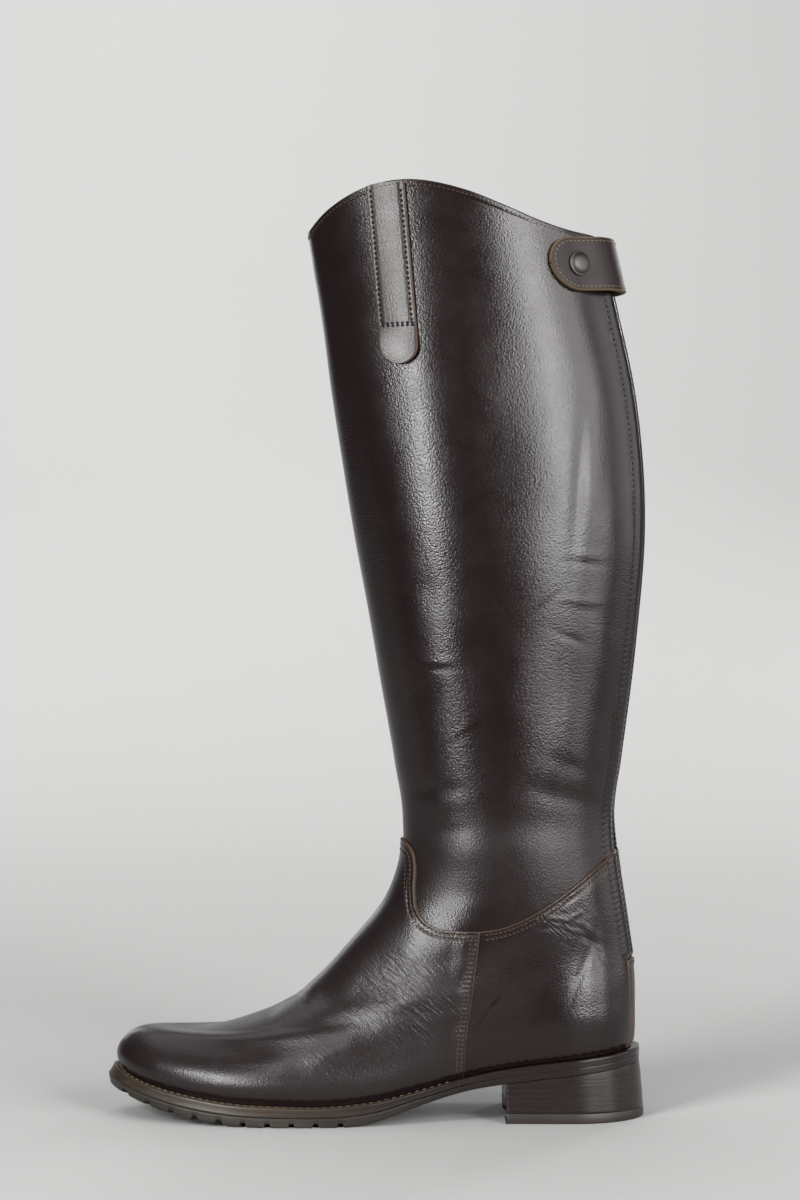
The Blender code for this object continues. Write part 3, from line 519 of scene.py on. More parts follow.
def flex(points):
    """How much a place is wrinkled: the strongest of the bell curves round the places that bend."""
    bells = [rise * np.exp(-((points[..., 0] - x) / length) ** 2 - ((points[..., 2] - z) / height) ** 2)
             for x, z, length, height, rise in FLEX_PLACES]
    return np.max(bells, axis=0)


def panel_object(name, material, level, turn, out, cut, flip=False):
    """A panel laid on the upper, with its edge: the same border again, sunk into what it lies on."""
    level, turn = (np.pad(np.broadcast_to(a, out.shape), 1, mode="edge") for a in (level, turn))
    points = upper_point(level, turn, np.pad(out, 1, constant_values=-0.3))
    bent = flex(points)
    attributes = {"cut": np.pad(cut, 1, constant_values=1.0), "flex": bent, "dull": 0.4 * bent}
    return grid_object(name, points, material, flip=flip, attributes=attributes)


def vamp_edge():
    """Levels and turns along the vamp's edge, from the welt up the side seam to the tongue's top."""
    line = np.concatenate([seam_line(SIDE_SEAM, 0.4), seam_line(VAMP_TOP, 0.5)[1:]])
    level, turn = lay(line[:, 0], line[:, 1], 1)
    top = np.interp(TONGUE_TOP, SECTION_TABLE["front_z"][5:], SECTION_TABLE["level"][5:])
    level = np.append(level, top)
    return np.maximum.accumulate(level + 1e-4 * np.arange(len(level))), np.append(turn, 0.0)


VAMP_LEVEL, VAMP_TURN = vamp_edge()
SEAM_COUNT = len(seam_line(SIDE_SEAM, 0.4))


def vamp_out(level, turn, side):
    """The vamp's face on one side of its middle, with its creases fading out at the edge."""
    edge = upper_base(VAMP_LEVEL, side * VAMP_TURN)
    out, gap = panel_out(level, turn, edge, edge[:SEAM_COUNT])
    x, y, z = np.moveaxis(upper_base(level, turn), -1, 0)
    worn = creases(VAMP_CREASES, x + 0.12 * y, z) + 0.6 * hide_wave(x, y, z)
    return out + worn * ease(2, 9, gap) * ease(2, 16, level), gap


def make_vamp():
    """Rows follow the edge, and each runs from the edge on one side to the edge on the other."""
    near_edge = [0.925, 0.945, 0.96, 0.972, 0.981, 0.988, 0.993, 0.9965, 0.9985, 1]
    half = np.concatenate([np.linspace(0, 0.9, 76), near_edge])
    across = np.concatenate([-half[:0:-1], half])
    turn = VAMP_TURN[:, None] * across[None, :]
    level = np.broadcast_to(VAMP_LEVEL[:, None], turn.shape)
    middle = len(half) - 1
    left, left_gap = vamp_out(level[:, :middle], turn[:, :middle], -1)
    right, right_gap = vamp_out(level[:, middle:], turn[:, middle:], 1)
    out, gap = np.hstack([left, right]), np.hstack([left_gap, right_gap])
    return panel_object("vamp_panel", VAMP_CALF, level, turn, out, 1 - ease(0.1, 0.45, gap))


piece = make_vamp()
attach(piece, "root")
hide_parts("vamp")

# Quarters: the rear panels of the foot, one a side, from the side seam back to the zip.
# Their front edge lies under the vamp and their back edge under the leather along the zip.
# The raw top edge carries the same two rows of stitches round the ankle.
QUARTER_TOP = ((52.8, 97.0), (63.0, 98.6), (74.0, 102.6), (86.0, 109.4), (98.0, 117.8), (110.0, 126.8),
               (132.0, 143.0))
ZIP_MARGIN = 11.5
QUARTER_CREASES = (
    # The fan of creases behind the ankle bone
    (88.0, 106.0, 8.0, 1.5, -10, -0.3), (92.0, 103.0, 9.0, 1.3, -18, 0.3),
    (96.0, 100.5, 9.0, 1.2, -20, -0.32), (99.0, 104.0, 6.0, 1.2, 24, 0.26),
    (101.0, 97.0, 8.0, 1.3, -26, 0.26), (106.0, 93.5, 8.0, 1.3, -34, -0.3),
    (108.0, 97.0, 7.0, 1.5, -38, 0.3), (84.0, 99.0, 8.0, 1.3, -8, -0.2),
    (110.0, 88.0, 8.0, 1.4, -55, -0.25),
    # A crease beside the side seam, and the counter's hollows and swell
    (57.0, 60.0, 9.0, 1.0, 52, -0.2), (60.0, 59.0, 10.0, 1.0, 50, 0.15),
    (114.0, 60.0, 22.0, 11.0, 96, 0.8), (104.5, 78.0, 16.0, 2.2, 70, -0.3),
    (86.0, 66.0, 22.0, 12.0, 40, -0.6), (70.0, 84.0, 18.0, 7.0, 20, -0.3),
)


def quarter_turn(level, share):
    """The turn of a place in the quarter: its share of the way from under the vamp to under the placket."""
    front = np.interp(level, VAMP_LEVEL[:SEAM_COUNT], VAMP_TURN[:SEAM_COUNT]) - 0.012
    return front + share * (turn_beside_zip(level, ZIP_MARGIN) - front)


def quarter_top_level(share):
    """The level at which a quarter's column meets its top edge, by halving."""
    line = seam_line(QUARTER_TOP, 0.5)
    low, high = np.full(share.shape, 60.0), np.full(share.shape, 160.0)
    for _ in range(36):
        mid = (low + high) / 2
        x, _, z = np.moveaxis(upper_base(mid, quarter_turn(mid, share)), -1, 0)
        below = z < np.interp(x, line[:, 0], line[:, 1], left=line[0, 1])
        low, high = np.where(below, mid, low), np.where(below, high, mid)
    return low


def quarter_out(level, turn, side):
    """The quarter's face, with its creases fading out at the top edge."""
    line = seam_line(((44.0, 96.4), *QUARTER_TOP), 0.4)
    edge = upper_base(*lay(line[:, 0], line[:, 1], side))
    out, gap = panel_out(level, turn, edge)
    x, y, z = np.moveaxis(upper_base(level, turn), -1, 0)
    worn = creases(QUARTER_CREASES, x, z) + 0.6 * hide_wave(x, y, z)
    return out + worn * ease(2, 9, gap) * ease(2, 16, level), gap


def make_quarter(name, side):
    """Columns run up from the welt to the top edge, at even shares of the way from the vamp to the zip."""
    share = np.linspace(0, 1, 130)
    near_edge = [0.945, 0.957, 0.967, 0.976, 0.984, 0.99, 0.994, 0.997, 0.9985, 1]
    rise = np.concatenate([np.linspace(0, 0.93, 120), near_edge])
    level = rise[:, None] * quarter_top_level(share)[None, :]
    turn = side * quarter_turn(level, share[None, :])
    out, gap = quarter_out(level, turn, side)
    return panel_object(name, CALF, level, turn, out, 1 - ease(0.1, 0.45, gap), flip=side < 0)


for name, side in (("outer", -1), ("inner", 1)):
    piece = make_quarter("quarter_panel_" + name, side)
    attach(piece, "root")
    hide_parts("quarter_" + name)

# Foot stitching: two rows of waxed brown thread along every raw edge of the foot's panels.
# Each stitch is a short round thread whose two ends go down through the leather.
THREAD_BROWN = "3C2B1E"


def thread_material(name, colour):
    """Waxed linen thread: a soft sheen, a little lighter and darker along its length."""
    tree, shader, made = new_material(name, Roughness=0.75, IOR=1.3)
    place = add_node(tree, "ShaderNodeTexCoord").outputs["Object"]
    twist = add_node(tree, "ShaderNodeTexNoise", values={"Scale": 1 / (0.5 * MM), "Detail": 2.0},
                     links={"Vector": place})
    pale = [min(1.0, 1.5 * c) for c in linear(colour)[:3]] + [1.0]
    tone = add_node(tree, "ShaderNodeMix", {"data_type": "RGBA"}, {"A": linear(colour), "B": pale},
                    {"Factor": twist.outputs["Fac"]})
    tree.links.new(tone.outputs["Result"], shader.inputs["Base Color"])
    bump = add_node(tree, "ShaderNodeBump", None, {"Strength": 0.3, "Distance": 0.1 * MM},
                    {"Height": twist.outputs["Fac"]})
    tree.links.new(bump.outputs["Normal"], shader.inputs["Normal"])
    return made


BROWN_THREAD = thread_material("waxed_brown_thread", THREAD_BROWN)


def stitches(rows, pitch, length, width, skew=0.0):
    """Threads along rows of places and normals: even steps along each row, a bulging tube at each step.

    The tube is thickest in its middle, its ends sink, and skew turns it within the surface, in radians."""
    station = np.array([-1.0, -0.85, -0.45, 0.0, 0.45, 0.85, 1.0])
    angle = np.linspace(0, 2 * np.pi, 7)[:-1]
    thick = width / 2 * (1 - 0.55 * station ** 4)
    lift = 0.12 * width - 0.75 * width * station ** 4
    blocks = []
    for places, normals in rows:
        run = np.concatenate([[0], np.cumsum(np.linalg.norm(np.diff(places, axis=0), axis=1))])
        at = np.arange(pitch / 2, run[-1], pitch)
        spot, normal = (np.stack([np.interp(at, run, v[:, k]) for k in range(3)], axis=-1)
                        for v in (places, normals))
        ahead = np.stack([np.interp(at + 0.2, run, places[:, k]) for k in range(3)], axis=-1) - spot
        side = np.cross(normal, ahead)
        side /= np.linalg.norm(side, axis=-1, keepdims=True)
        ahead = np.cross(side, normal)
        ahead /= np.linalg.norm(ahead, axis=-1, keepdims=True)
        ahead, side = (math.cos(skew) * ahead + math.sin(skew) * side,
                       math.cos(skew) * side - math.sin(skew) * ahead)
        normal = normal / np.linalg.norm(normal, axis=-1, keepdims=True)
        along = station[:, None] * length / 2 * np.ones_like(angle)
        wide = thick[:, None] * np.cos(angle)
        high = thick[:, None] * np.sin(angle) + lift[:, None]
        frame_of = [v[:, None, None, :] for v in (ahead, side, normal)]
        tube = sum(a[None, ..., None] * v for a, v in zip((along, wide, high), frame_of))
        blocks.append(spot[:, None, None, :] + tube)
    return np.concatenate(blocks)


def sewn_row(line, side, out_of):
    """Places and normals along a side view line, on a face whose height out of the upper is given."""
    level, turn = lay(line[:, 0], line[:, 1], side)
    out = out_of(level[None], turn[None], side)[0][0]
    return upper_point(level, turn, out), upper_normal(level, turn)


def foot_rows(side):
    """The rows of stitches on one side: up the side seam, round the tongue and along the quarter's top."""
    for distance in STITCH_ROWS:
        yield sewn_row(beside(seam_line(SIDE_SEAM, 1.0), distance)[3:-3], side, vamp_out)
        yield sewn_row(beside(seam_line(VAMP_TOP, 1.0), distance)[1:-2], side, vamp_out)
        yield sewn_row(beside(seam_line(QUARTER_TOP, 1.0), -distance)[2:-14], side, quarter_out)


rows = [row for side in (-1, 1) for row in foot_rows(side)]
piece = grid_object("foot_stitches", stitches(rows, STITCH_PITCH, 1.75, 0.72), BROWN_THREAD, closed=True)
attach(piece, "root")

# Back stay: a narrow strip of calf over the join of the quarters, from the welt to the zip.
# Its edges are raw, and it is sewn on down both sides.
ZIP_END = 77.0
STAY_HALF = 13.0
STAY_CALF = calf_leather("stay_calf", "2A1C19", "201514", cut="4C3A26", gloss=0.34)


def back_level(height):
    """The level of the section whose back end has that height."""
    return np.interp(height, SECTION_TABLE["back_z"], SECTION_TABLE["level"])


def make_stay():
    """Rows up the back, columns round it between the two edges."""
    level = np.linspace(0.2, back_level(ZIP_END + 3.0), 90)
    edge = turn_beside_zip(level, STAY_HALF)
    across = np.concatenate([[0, 0.006, 0.015, 0.03], np.linspace(0.05, 0.95, 40), [0.97, 0.985, 0.994, 1]])
    turn = edge[:, None] + across[None, :] * 2 * (1 - edge[:, None])
    gap = np.minimum(np.minimum(across, 1 - across) * 2 * STAY_HALF * 1.1, (level[-1] - level)[:, None])
    lift = 1.9 + 0.7 * ease(level[-1] - 8, level[-1] - 3, level)
    out = (lift[:, None] - edge_drop(gap, 0.5)) * (0.3 + 0.7 * ease(0, 4, level))[:, None]
    out = out - 0.2 * np.exp(-((gap - 2.0) / 0.5) ** 2)
    level = np.pad(np.broadcast_to(level[:, None], turn.shape), 1, mode="edge")
    turn = np.pad(wrap(turn), 1, mode="edge")
    points = upper_point(level, turn, np.pad(out, 1, constant_values=-0.3))
    cut = np.pad(1 - ease(0.2, 0.8, gap), 1, constant_values=1.0)
    return grid_object("back_stay_strip", points, STAY_CALF, attributes={"cut": cut})


piece = make_stay()
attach(piece, "root")
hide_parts("back_stay")

# Zip plackets: the leg's leather folded back along both edges of the zip, and sewn through twice.
# The stitches draw the fold in, so that it swells between them.
PLACKET_ROWS = (6.6, 14.4)
PLACKET_PITCH = 2.9
FOLD_DISTANCE = (2.5, 2.7, 3.1, 3.9, 5.2, 6.6, 10.5, 14.4, 15.6, 16.5)
FOLD_OUT = (-1.6, 0.2, 1.2, 1.9, 2.1, 1.9, 1.4, 0.5, 0.2, -0.25)
FOLD_SPREAD = 3.5
QUARTER_LAP = 1.2


def placket_out(distance, height, above, side):
    """The fold's height: its profile across, drawn in at both stitch rows, with puckers below the calf.

    Below the quarter's edge it lies higher, at its lower end it sinks under the stay, and round the ankle
    the inner fold stands out and the outer one sinks, so that the zip's slit gapes."""
    out = np.interp(distance, FOLD_DISTANCE, FOLD_OUT)
    beat = np.cos(2 * np.pi * (height + 0.3 * distance) / PLACKET_PITCH)
    beat = beat * (0.65 + 0.35 * np.sin(height / 9 + distance / 7)) * (1 - ease(190, 320, height))
    for row in PLACKET_ROWS:
        out = out - np.exp(-((distance - row) / 0.9) ** 2) * (0.26 + 0.12 * beat)
    swell = np.exp(-((distance - sum(PLACKET_ROWS) / 2) / 3) ** 2) * 0.07 * beat
    gape = (0.8 * side - 0.2) * np.exp(-((height - 130) / 46) ** 2) * (1 - ease(4, 11, distance))
    lap = QUARTER_LAP * (1 - ease(-0.7, 0.7, above)) * ease(3, 5, distance)
    return (out - swell + gape + lap) * (0.4 + 0.6 * ease(ZIP_END + 2.5, ZIP_END + 7, height))


def placket_grid(side, distance):
    """Levels, turns and heights out along the fold, which widens below the ankle, and its raw edge."""
    height = np.linspace(ZIP_END + 1.0, COLLAR_HEIGHT[-1], 640)[:, None]
    level = back_level(height) * np.ones_like(distance)
    wider = 1 + FOLD_SPREAD / FOLD_DISTANCE[-1] * (1 - ease(100, 190, height)) * ease(3, 6, distance)
    turn = side * turn_beside_zip(level, distance * wider)
    x, _, z = np.moveaxis(upper_base(level, turn), -1, 0)
    line = seam_line(QUARTER_TOP, 0.5)
    above = z - np.interp(x, line[:, 0], line[:, 1])
    raw = np.exp(-(above / 0.6) ** 2) * ease(4, 6, distance) * (1 - ease(14, 15.5, distance))
    return level, turn, placket_out(distance * np.ones_like(level), height, above, side), raw


def make_placket(name, side):
    """Rows up the zip, columns across the fold from inside the slit to its outer edge."""
    distance = np.interp(np.linspace(0, 9, 34), np.arange(10), FOLD_DISTANCE)[None, :]
    level, turn, out, raw = placket_grid(side, distance)
    return grid_object(name, upper_point(level, turn, out), CALF, flip=side > 0, attributes={"cut": raw})


for name, side in (("outer", -1), ("inner", 1)):
    piece = make_placket("placket_" + name, side)
    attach(piece, "root")
    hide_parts("zip_placket_" + name)


DARK_THREAD = thread_material("waxed_dark_thread", "1C1411")


def placket_row(side, distance):
    """Places and normals of one row of stitches; above the calf the inner row sinks into its fold."""
    level, turn, out, _ = placket_grid(side, np.array([[distance]]))
    sunk = 0.02 + 0.5 * ease(230, 260, level) * (distance < 10)
    return upper_point(level, turn, out - sunk)[:, 0], upper_normal(level, turn)[:, 0]


rows = [placket_row(side, distance) for side in (-1, 1) for distance in PLACKET_ROWS]
piece = grid_object("placket_stitches", stitches(rows, PLACKET_PITCH, 2.1, 0.7), DARK_THREAD, closed=True)
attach(piece, "root")

# Zip: woven tape inside the leg, a moulded coil of teeth in the slit, and a metal slider under the strap.
# The teeth of one side lie between those of the other, and round the ankle they bulge out of the slit.
TOOTH_PITCH = 2.4
CHAIN_DROP = 6.0
# Woven polyester tape: a dull brown black, with a fine rib across it.
tree, shader, TAPE = new_material("woven_zip_tape", Roughness=0.85)
place = add_node(tree, "ShaderNodeTexCoord").outputs["Object"]
weave = add_node(tree, "ShaderNodeTexWave", {"bands_direction": "Z", "wave_profile": "TRI"},
                 {"Scale": 1 / (6.0 * MM), "Distortion": 1.5}, {"Vector": place})
shade = add_node(tree, "ShaderNodeMix", {"data_type": "RGBA"},
                 {"A": linear("141211"), "B": linear("262220")}, {"Factor": weave.outputs["Fac"]})
tree.links.new(shade.outputs["Result"], shader.inputs["Base Color"])
bump = add_node(tree, "ShaderNodeBump", None, {"Strength": 0.4, "Distance": 0.2 * MM},
                {"Height": weave.outputs["Fac"]})
tree.links.new(bump.outputs["Normal"], shader.inputs["Normal"])
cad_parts["zip_tape"].data.materials[0] = TAPE

# Moulded nylon: near black, with a soft shine that the slider has rubbed uneven.
tree, shader, NYLON = new_material("dark_zip_nylon", IOR=1.5)
place = add_node(tree, "ShaderNodeTexCoord").outputs["Object"]
rubbed = add_node(tree, "ShaderNodeTexNoise", values={"Scale": 1 / (3.0 * MM), "Detail": 4.0},
                  links={"Vector": place})
shade = add_node(tree, "ShaderNodeMix", {"data_type": "RGBA"},
                 {"A": linear("0D0B0A"), "B": linear("1B1715")}, {"Factor": rubbed.outputs["Fac"]})
tree.links.new(shade.outputs["Result"], shader.inputs["Base Color"])
rough = add_node(tree, "ShaderNodeMapRange", values={"To Min": 0.45, "To Max": 0.7},
                 links={"Value": rubbed.outputs["Fac"]})
tree.links.new(rough.outputs["Result"], shader.inputs["Roughness"])
height = np.arange(ZIP_END + 3, COLLAR_HEIGHT[-1] - CHAIN_DROP, TOOTH_PITCH / 2)
level = back_level(height)
side = np.where(np.arange(len(height)) % 2 == 0, 1, -1)
middle = upper_point(level, np.full_like(level, 1.0), 2.7 * np.exp(-((height - 128) / 44) ** 2) - 1.1)
normal = upper_normal(level, np.full_like(level, 1.0))
station = np.linspace(-1, 1, 7)
angle = np.linspace(0, 2 * np.pi, 9)[:-1]
thick = np.sqrt(1 - 0.9 * station ** 4)
across = station[:, None] * 1.7 * np.ones_like(angle)
rise = thick[:, None] * 0.62 * np.sin(angle)
depth = thick[:, None] * 0.9 * np.cos(angle)
tooth = (across[None, ..., None] + 0.9 * side[:, None, None, None]) * np.array([0.0, 1.0, 0.0])
tooth = tooth + rise[None, ..., None] * np.array([0.0, 0.0, 1.0])
tooth = tooth + depth[None, ..., None] * normal[:, None, None, :]
piece = grid_object("zip_teeth", middle[:, None, None, :] + tooth, NYLON, closed=True)
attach(piece, "root")
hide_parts("zip_chain")

# Strap: a band over the top of the zip, of two leathers with raw edges, sewn on at the inner side.
# Its round end lies on the outer side, held by a snap, with one row of tan stitches along its edge.
STRAP_MIDDLE = 432.9
STRAP_REACH = 13.5
STRAP_THICK = 3.0
STRAP_END_X = 87.8
STRAP_SEWN_X = 76.0
STRAP_STANDOFF = 5.0
STRAP_CALF = calf_leather("strap_calf", "1E1413", "160F0E", cut="5A4C32", gloss=0.46, ior=1.3)
TAN_THREAD = thread_material("waxed_tan_thread", "5C4E3A")


def strap_seat(level, turn):
    """How far the strap's inner face lies out: on the leg, and clear of the zip at the back."""
    distance = half_width(section(level), share_of(turn))
    return SEAT + (STRAP_STANDOFF - SEAT) * (1 - ease(15, 27, distance))


def strap_run(count):
    """Turns along the strap from its round end backwards, and the length of strap up to each."""
    start = float(turn_at_x(STRAP_MIDDLE, STRAP_END_X, -1))
    end = float(turn_at_x(STRAP_MIDDLE, STRAP_SEWN_X, 1)) - 2
    first = start - 0.09 * (1 - np.cos(np.linspace(0, np.pi / 2, 30)))
    along = np.concatenate([first, np.linspace(first[-1], end, count)[1:]])
    flat = upper_point(STRAP_MIDDLE, wrap(along))
    return wrap(along), np.concatenate([[0], np.cumsum(np.linalg.norm(np.diff(flat, axis=0), axis=1))])


def band_profile(half, thick, bevel):
    """A closed profile for each half width: across and lift round two faces and two rounded edges, and cut.

    The face comes first, from one edge to the other, then the edge, the back and the other edge."""
    arc = np.linspace(0, np.pi, 9)[1:-1]
    face = np.linspace(-1, 1, 21)
    share = np.concatenate([face, np.ones(7), -face, -np.ones(7)])
    beyond = np.concatenate([np.zeros(21), np.sin(arc), np.zeros(21), -np.sin(arc)])
    rise = np.concatenate([np.ones(21), np.cos(arc), -np.ones(21), -np.cos(arc)])
    cut = np.concatenate([np.zeros(21), np.ones(7), 0.5 * np.ones(21), np.ones(7)])
    inner = np.maximum(half - bevel, 0)[:, None]
    across = share * inner + beyond * np.minimum(bevel, half)[:, None]
    return across, thick / 2 * (1 + np.sign(rise) * np.abs(rise) ** 0.5), np.broadcast_to(cut, across.shape)


def make_strap():
    """The profile carried round the leg; at the end its half width follows a quarter circle."""
    turn, run = strap_run(110)
    half = STRAP_REACH * np.maximum(round_end(run / STRAP_REACH), 0.02)
    across, lift, cut = band_profile(half, STRAP_THICK, 0.7)
    level = STRAP_MIDDLE + across
    turns = np.broadcast_to(turn[:, None], level.shape)
    points = upper_point(level, turns, strap_seat(level, turns) + lift)
    return grid_object("strap_band", points, STRAP_CALF, closed=True, flip=True, attributes={"cut": cut})


piece = make_strap()
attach(piece, "root")
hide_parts("snap_strap")


def strap_row():
    """The row of stitches: along the lower edge to the end, round it, and back along the upper edge."""
    inset = 2.1
    turn, run = strap_run(110)
    reach = STRAP_REACH - inset
    keep = run >= inset
    half = reach * round_end((run[keep] - inset) / reach)
    level = STRAP_MIDDLE + np.concatenate([-half[::-1], half])
    turns = np.concatenate([turn[keep][::-1], turn[keep]])
    out = strap_seat(level, turns) + STRAP_THICK - 0.05
    return upper_point(level, turns, out), upper_normal(level, turns)


piece = grid_object("strap_stitches", stitches([strap_row()], 2.5, 1.8, 0.55), TAN_THREAD, closed=True)
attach(piece, "root")

# Snap: a domed steel cap with a rolled rim, plated dark and pressed through the strap.
# The zip's slider, which the strap hides, has the same finish.
SNAP_X = 101.4
SNAP_PROFILE = ((6.3, -0.2), (6.4, 0.3), (6.35, 0.7), (6.1, 0.95), (5.8, 0.9), (5.6, 1.0),
                (5.0, 1.6), (4.0, 2.15), (2.6, 2.5), (1.2, 2.62), (0.0, 2.64))
# Gunmetal plate on steel: a dark grey metal, whose fine scuffs blur its shine.
tree, shader, GUNMETAL = new_material("gunmetal_plate", Metallic=1.0)
place = add_node(tree, "ShaderNodeTexCoord").outputs["Object"]
scuff = add_node(tree, "ShaderNodeTexNoise", values={"Scale": 1 / (2.5 * MM), "Detail": 5.0},
                 links={"Vector": place})
tone = add_node(tree, "ShaderNodeMix", {"data_type": "RGBA"},
                {"A": linear("42403E"), "B": linear("52504D")}, {"Factor": scuff.outputs["Fac"]})
tree.links.new(tone.outputs["Result"], shader.inputs["Base Color"])
rough = add_node(tree, "ShaderNodeMapRange", values={"To Min": 0.42, "To Max": 0.55},
                 links={"Value": scuff.outputs["Fac"]})
tree.links.new(rough.outputs["Result"], shader.inputs["Roughness"])
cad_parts["zip_slider"].data.materials[0] = GUNMETAL

turn = turn_at_x(STRAP_MIDDLE, SNAP_X, -1)
seat = strap_seat(STRAP_MIDDLE, turn) + STRAP_THICK
normal = upper_normal(STRAP_MIDDLE, turn)
up = np.array([0.0, 0.0, 1.0]) - normal * normal[2]
up /= np.linalg.norm(up)
side = np.cross(up, normal)
radius, lift = np.array(SNAP_PROFILE).T[:, :, None]
angle = np.linspace(0, 2 * np.pi, 49)[:-1]
points = (upper_point(STRAP_MIDDLE, turn, seat) + (radius * np.cos(angle))[..., None] * side
          + (radius * np.sin(angle))[..., None] * up + (lift * np.ones_like(angle))[..., None] * normal)
piece = grid_object("snap_dome", points, GUNMETAL, closed=True)
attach(piece, "root")
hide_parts("snap_cap")

# Finger tab: a strip of the same calf that hangs from the collar down the front of the outer side.
# Black stitches hold its long edges and cross it near the end, which is round and free.
TAB_TOP_X = 5.6
TAB_BOTTOM_X = 13.4
TAB_BOTTOM_Z = 382.0
TAB_SEWN_Z = 402.5
TAB_HALF = 9.5
TAB_THICK = 2.4
TAB_RISE = 2.2
TAB_CALF = calf_leather("tab_calf", "211513", "1A1110", cut="46352A", gloss=0.27, grain=0.7, ior=1.37)
TAB_TOP = float(collar_level(turn_at_x(470.0, TAB_TOP_X, -1)))


def tab_middle(height):
    """The x of the tab's middle at a height."""
    return TAB_TOP_X + (TAB_TOP - height) / (TAB_TOP - TAB_BOTTOM_Z) * (TAB_BOTTOM_X - TAB_TOP_X)


def tab_seat(height):
    """How far the tab's inner face lies out: sewn down above, and lifting off below the cross row."""
    return SEAT - 0.2 + TAB_RISE * (1 - ease(TAB_BOTTOM_Z - 2, TAB_SEWN_Z - 1, height))


def make_tab():
    """The band's profile carried down the leg, ending in a half circle."""
    tip = 0.88 + 0.12 * np.sin(np.linspace(0, np.pi / 2, 30))
    down = np.concatenate([np.linspace(0, 0.88, 100)[:-1], tip])
    height = TAB_TOP + down * (TAB_BOTTOM_Z - TAB_TOP)
    half = TAB_HALF * np.maximum(round_end((height - TAB_BOTTOM_Z) / TAB_HALF), 0.02)
    across, lift, cut = band_profile(half, TAB_THICK, 0.6)
    x = tab_middle(height)[:, None] + across
    level = np.minimum(height[:, None], collar_level(turn_at_x(height[:, None], x, -1)) + 0.3)
    sewn = np.exp(-((np.abs(across) - (TAB_HALF - 2)) / 0.6) ** 2)
    sewn = sewn * ease(TAB_SEWN_Z - 1, TAB_SEWN_Z, height)[:, None]
    out = tab_seat(level) + lift - 0.25 * sewn * (lift > TAB_THICK / 2)
    points = upper_point(level, turn_at_x(level, x, -1), out)
    return grid_object("tab_strip", points, TAB_CALF, closed=True, attributes={"cut": cut})


piece = make_tab()
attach(piece, "root")
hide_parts("finger_tab")


def tab_rows():
    """The tab's stitches: down both long edges, and two rows across where its end comes free."""
    height = np.linspace(TAB_TOP - 3, TAB_SEWN_Z, 90)
    for edge in (-1, 1):
        x = tab_middle(height) + edge * (TAB_HALF - 2)
        turn = turn_at_x(height, x, -1)
        yield upper_point(height, turn, tab_seat(height) + TAB_THICK - 0.15), upper_normal(height, turn)
    for drop in (0.0, 1.3):
        height = np.full(30, TAB_SEWN_Z - drop)
        turn = turn_at_x(height, tab_middle(height) + np.linspace(-1, 1, 30) * (TAB_HALF - 1.6), -1)
        yield upper_point(height, turn, tab_seat(height) + TAB_THICK - 0.1), upper_normal(height, turn)


BLACK_THREAD = thread_material("waxed_black_thread", "0B0706")
piece = grid_object("tab_stitches", stitches(list(tab_rows()), 2.6, 2.0, 1.25), BLACK_THREAD, closed=True)
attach(piece, "root")

# Collar stitching: one row of the brown thread through the folded hem, from one zip edge to the other.
# It goes over the top of the tab as well, and so holds it in the hem.
HEM_ROW = 1.7


def collar_row():
    """Places and normals a little below the collar's edge, raised where the tab lies under the row."""
    turn = np.linspace(-0.93, 0.93, 600)
    level = collar_level(turn) - HEM_ROW
    x = upper_base(level, turn)[:, 0]
    tab = (np.abs(x - tab_middle(level)) < TAB_HALF) & (turn < 0)
    out = np.where(tab, SEAT + TAB_THICK - 0.3, leg_out(level, turn) - 0.1)
    return upper_point(level, turn, out), upper_normal(level, turn)


piece = grid_object("collar_stitches", stitches([collar_row()], 2.4, 1.7, 0.55), BROWN_THREAD, closed=True)
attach(piece, "root")

# Insole: a sock of tan leather that the foot stands on, cut to the last's plan and glued down inside.
# Vegetable-tanned and unpolished, it looks pale and matt, with hardly any grain.
SOCK = calf_leather("tan_sock_leather", "8A6E50", "7A6046", gloss=0.6, grain=0.6)
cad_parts["insole"].data.materials[0] = SOCK

# Welt: a brown leather plate that stands out round the foot, its edge waxed and burnished.
# A row of pale slanting stitches runs in a channel along its top, close to the edge.
SOLE_FRONT = -137.5
SOLE_BACK = 135.4
SOLE_BOTTOM = (15.0, 13.0, 11.0, 7.4, 2.8, 0.7, 0.0, 0.0, 2.4, 9.0, 16.4, 20.2, 24.2, 26.6, 29.2)
SOLE_MARGIN = 5.0
TOE_LEAN = 3.4
WELT_SHARE = 0.52
RING_SHARE = np.unique(np.concatenate([share_of(np.linspace(0, 1, 200)), np.linspace(0.02, 0.5, 240)]))


def sole_bottom(x):
    """The height of the outsole's underside along the boot."""
    return np.maximum(smooth(SOLE_X, SOLE_BOTTOM, x), 0)


def split_line(x):
    """The height at which the welt lies on the outsole."""
    return sole_top(x) - WELT_SHARE * (sole_top(x) - sole_bottom(x))


def plan(margin, front, back, x):
    """The last's plan grown by a margin: the outer and the inner y at x."""
    part = section(0.0)
    part["half_front"] = part["half_front"] + margin
    part["half_back"] = part["half_back"] + 0.75 * margin
    half = half_width(part, np.clip((x - front) / (back - front), 0, 1))
    return middle_line(x) - half, middle_line(x) + half


def sole_ring(inset, height_of, lean=0.0):
    """A closed ring of the sole's outline, drawn in by an inset and at the toe by its lean as well.

    Over the heel the edges are trimmed flush with each other, so small insets all but vanish there."""
    front, back = SOLE_FRONT + inset + lean * TOE_LEAN, SOLE_BACK - (inset if inset > 1.6 else 0.2 * inset)
    x = front + RING_SHARE * (back - front)
    trimmed = inset if inset > 1.6 else inset * (1 - 0.8 * ease(48, 66, x))
    outer, inner = plan(SOLE_MARGIN - trimmed, front, back, x)
    x = np.concatenate([x, x[-2:0:-1]])
    return np.stack([x, np.concatenate([outer, inner[-2:0:-1]]), height_of(x)], axis=-1)


HEEL_GLOSS = 0.26


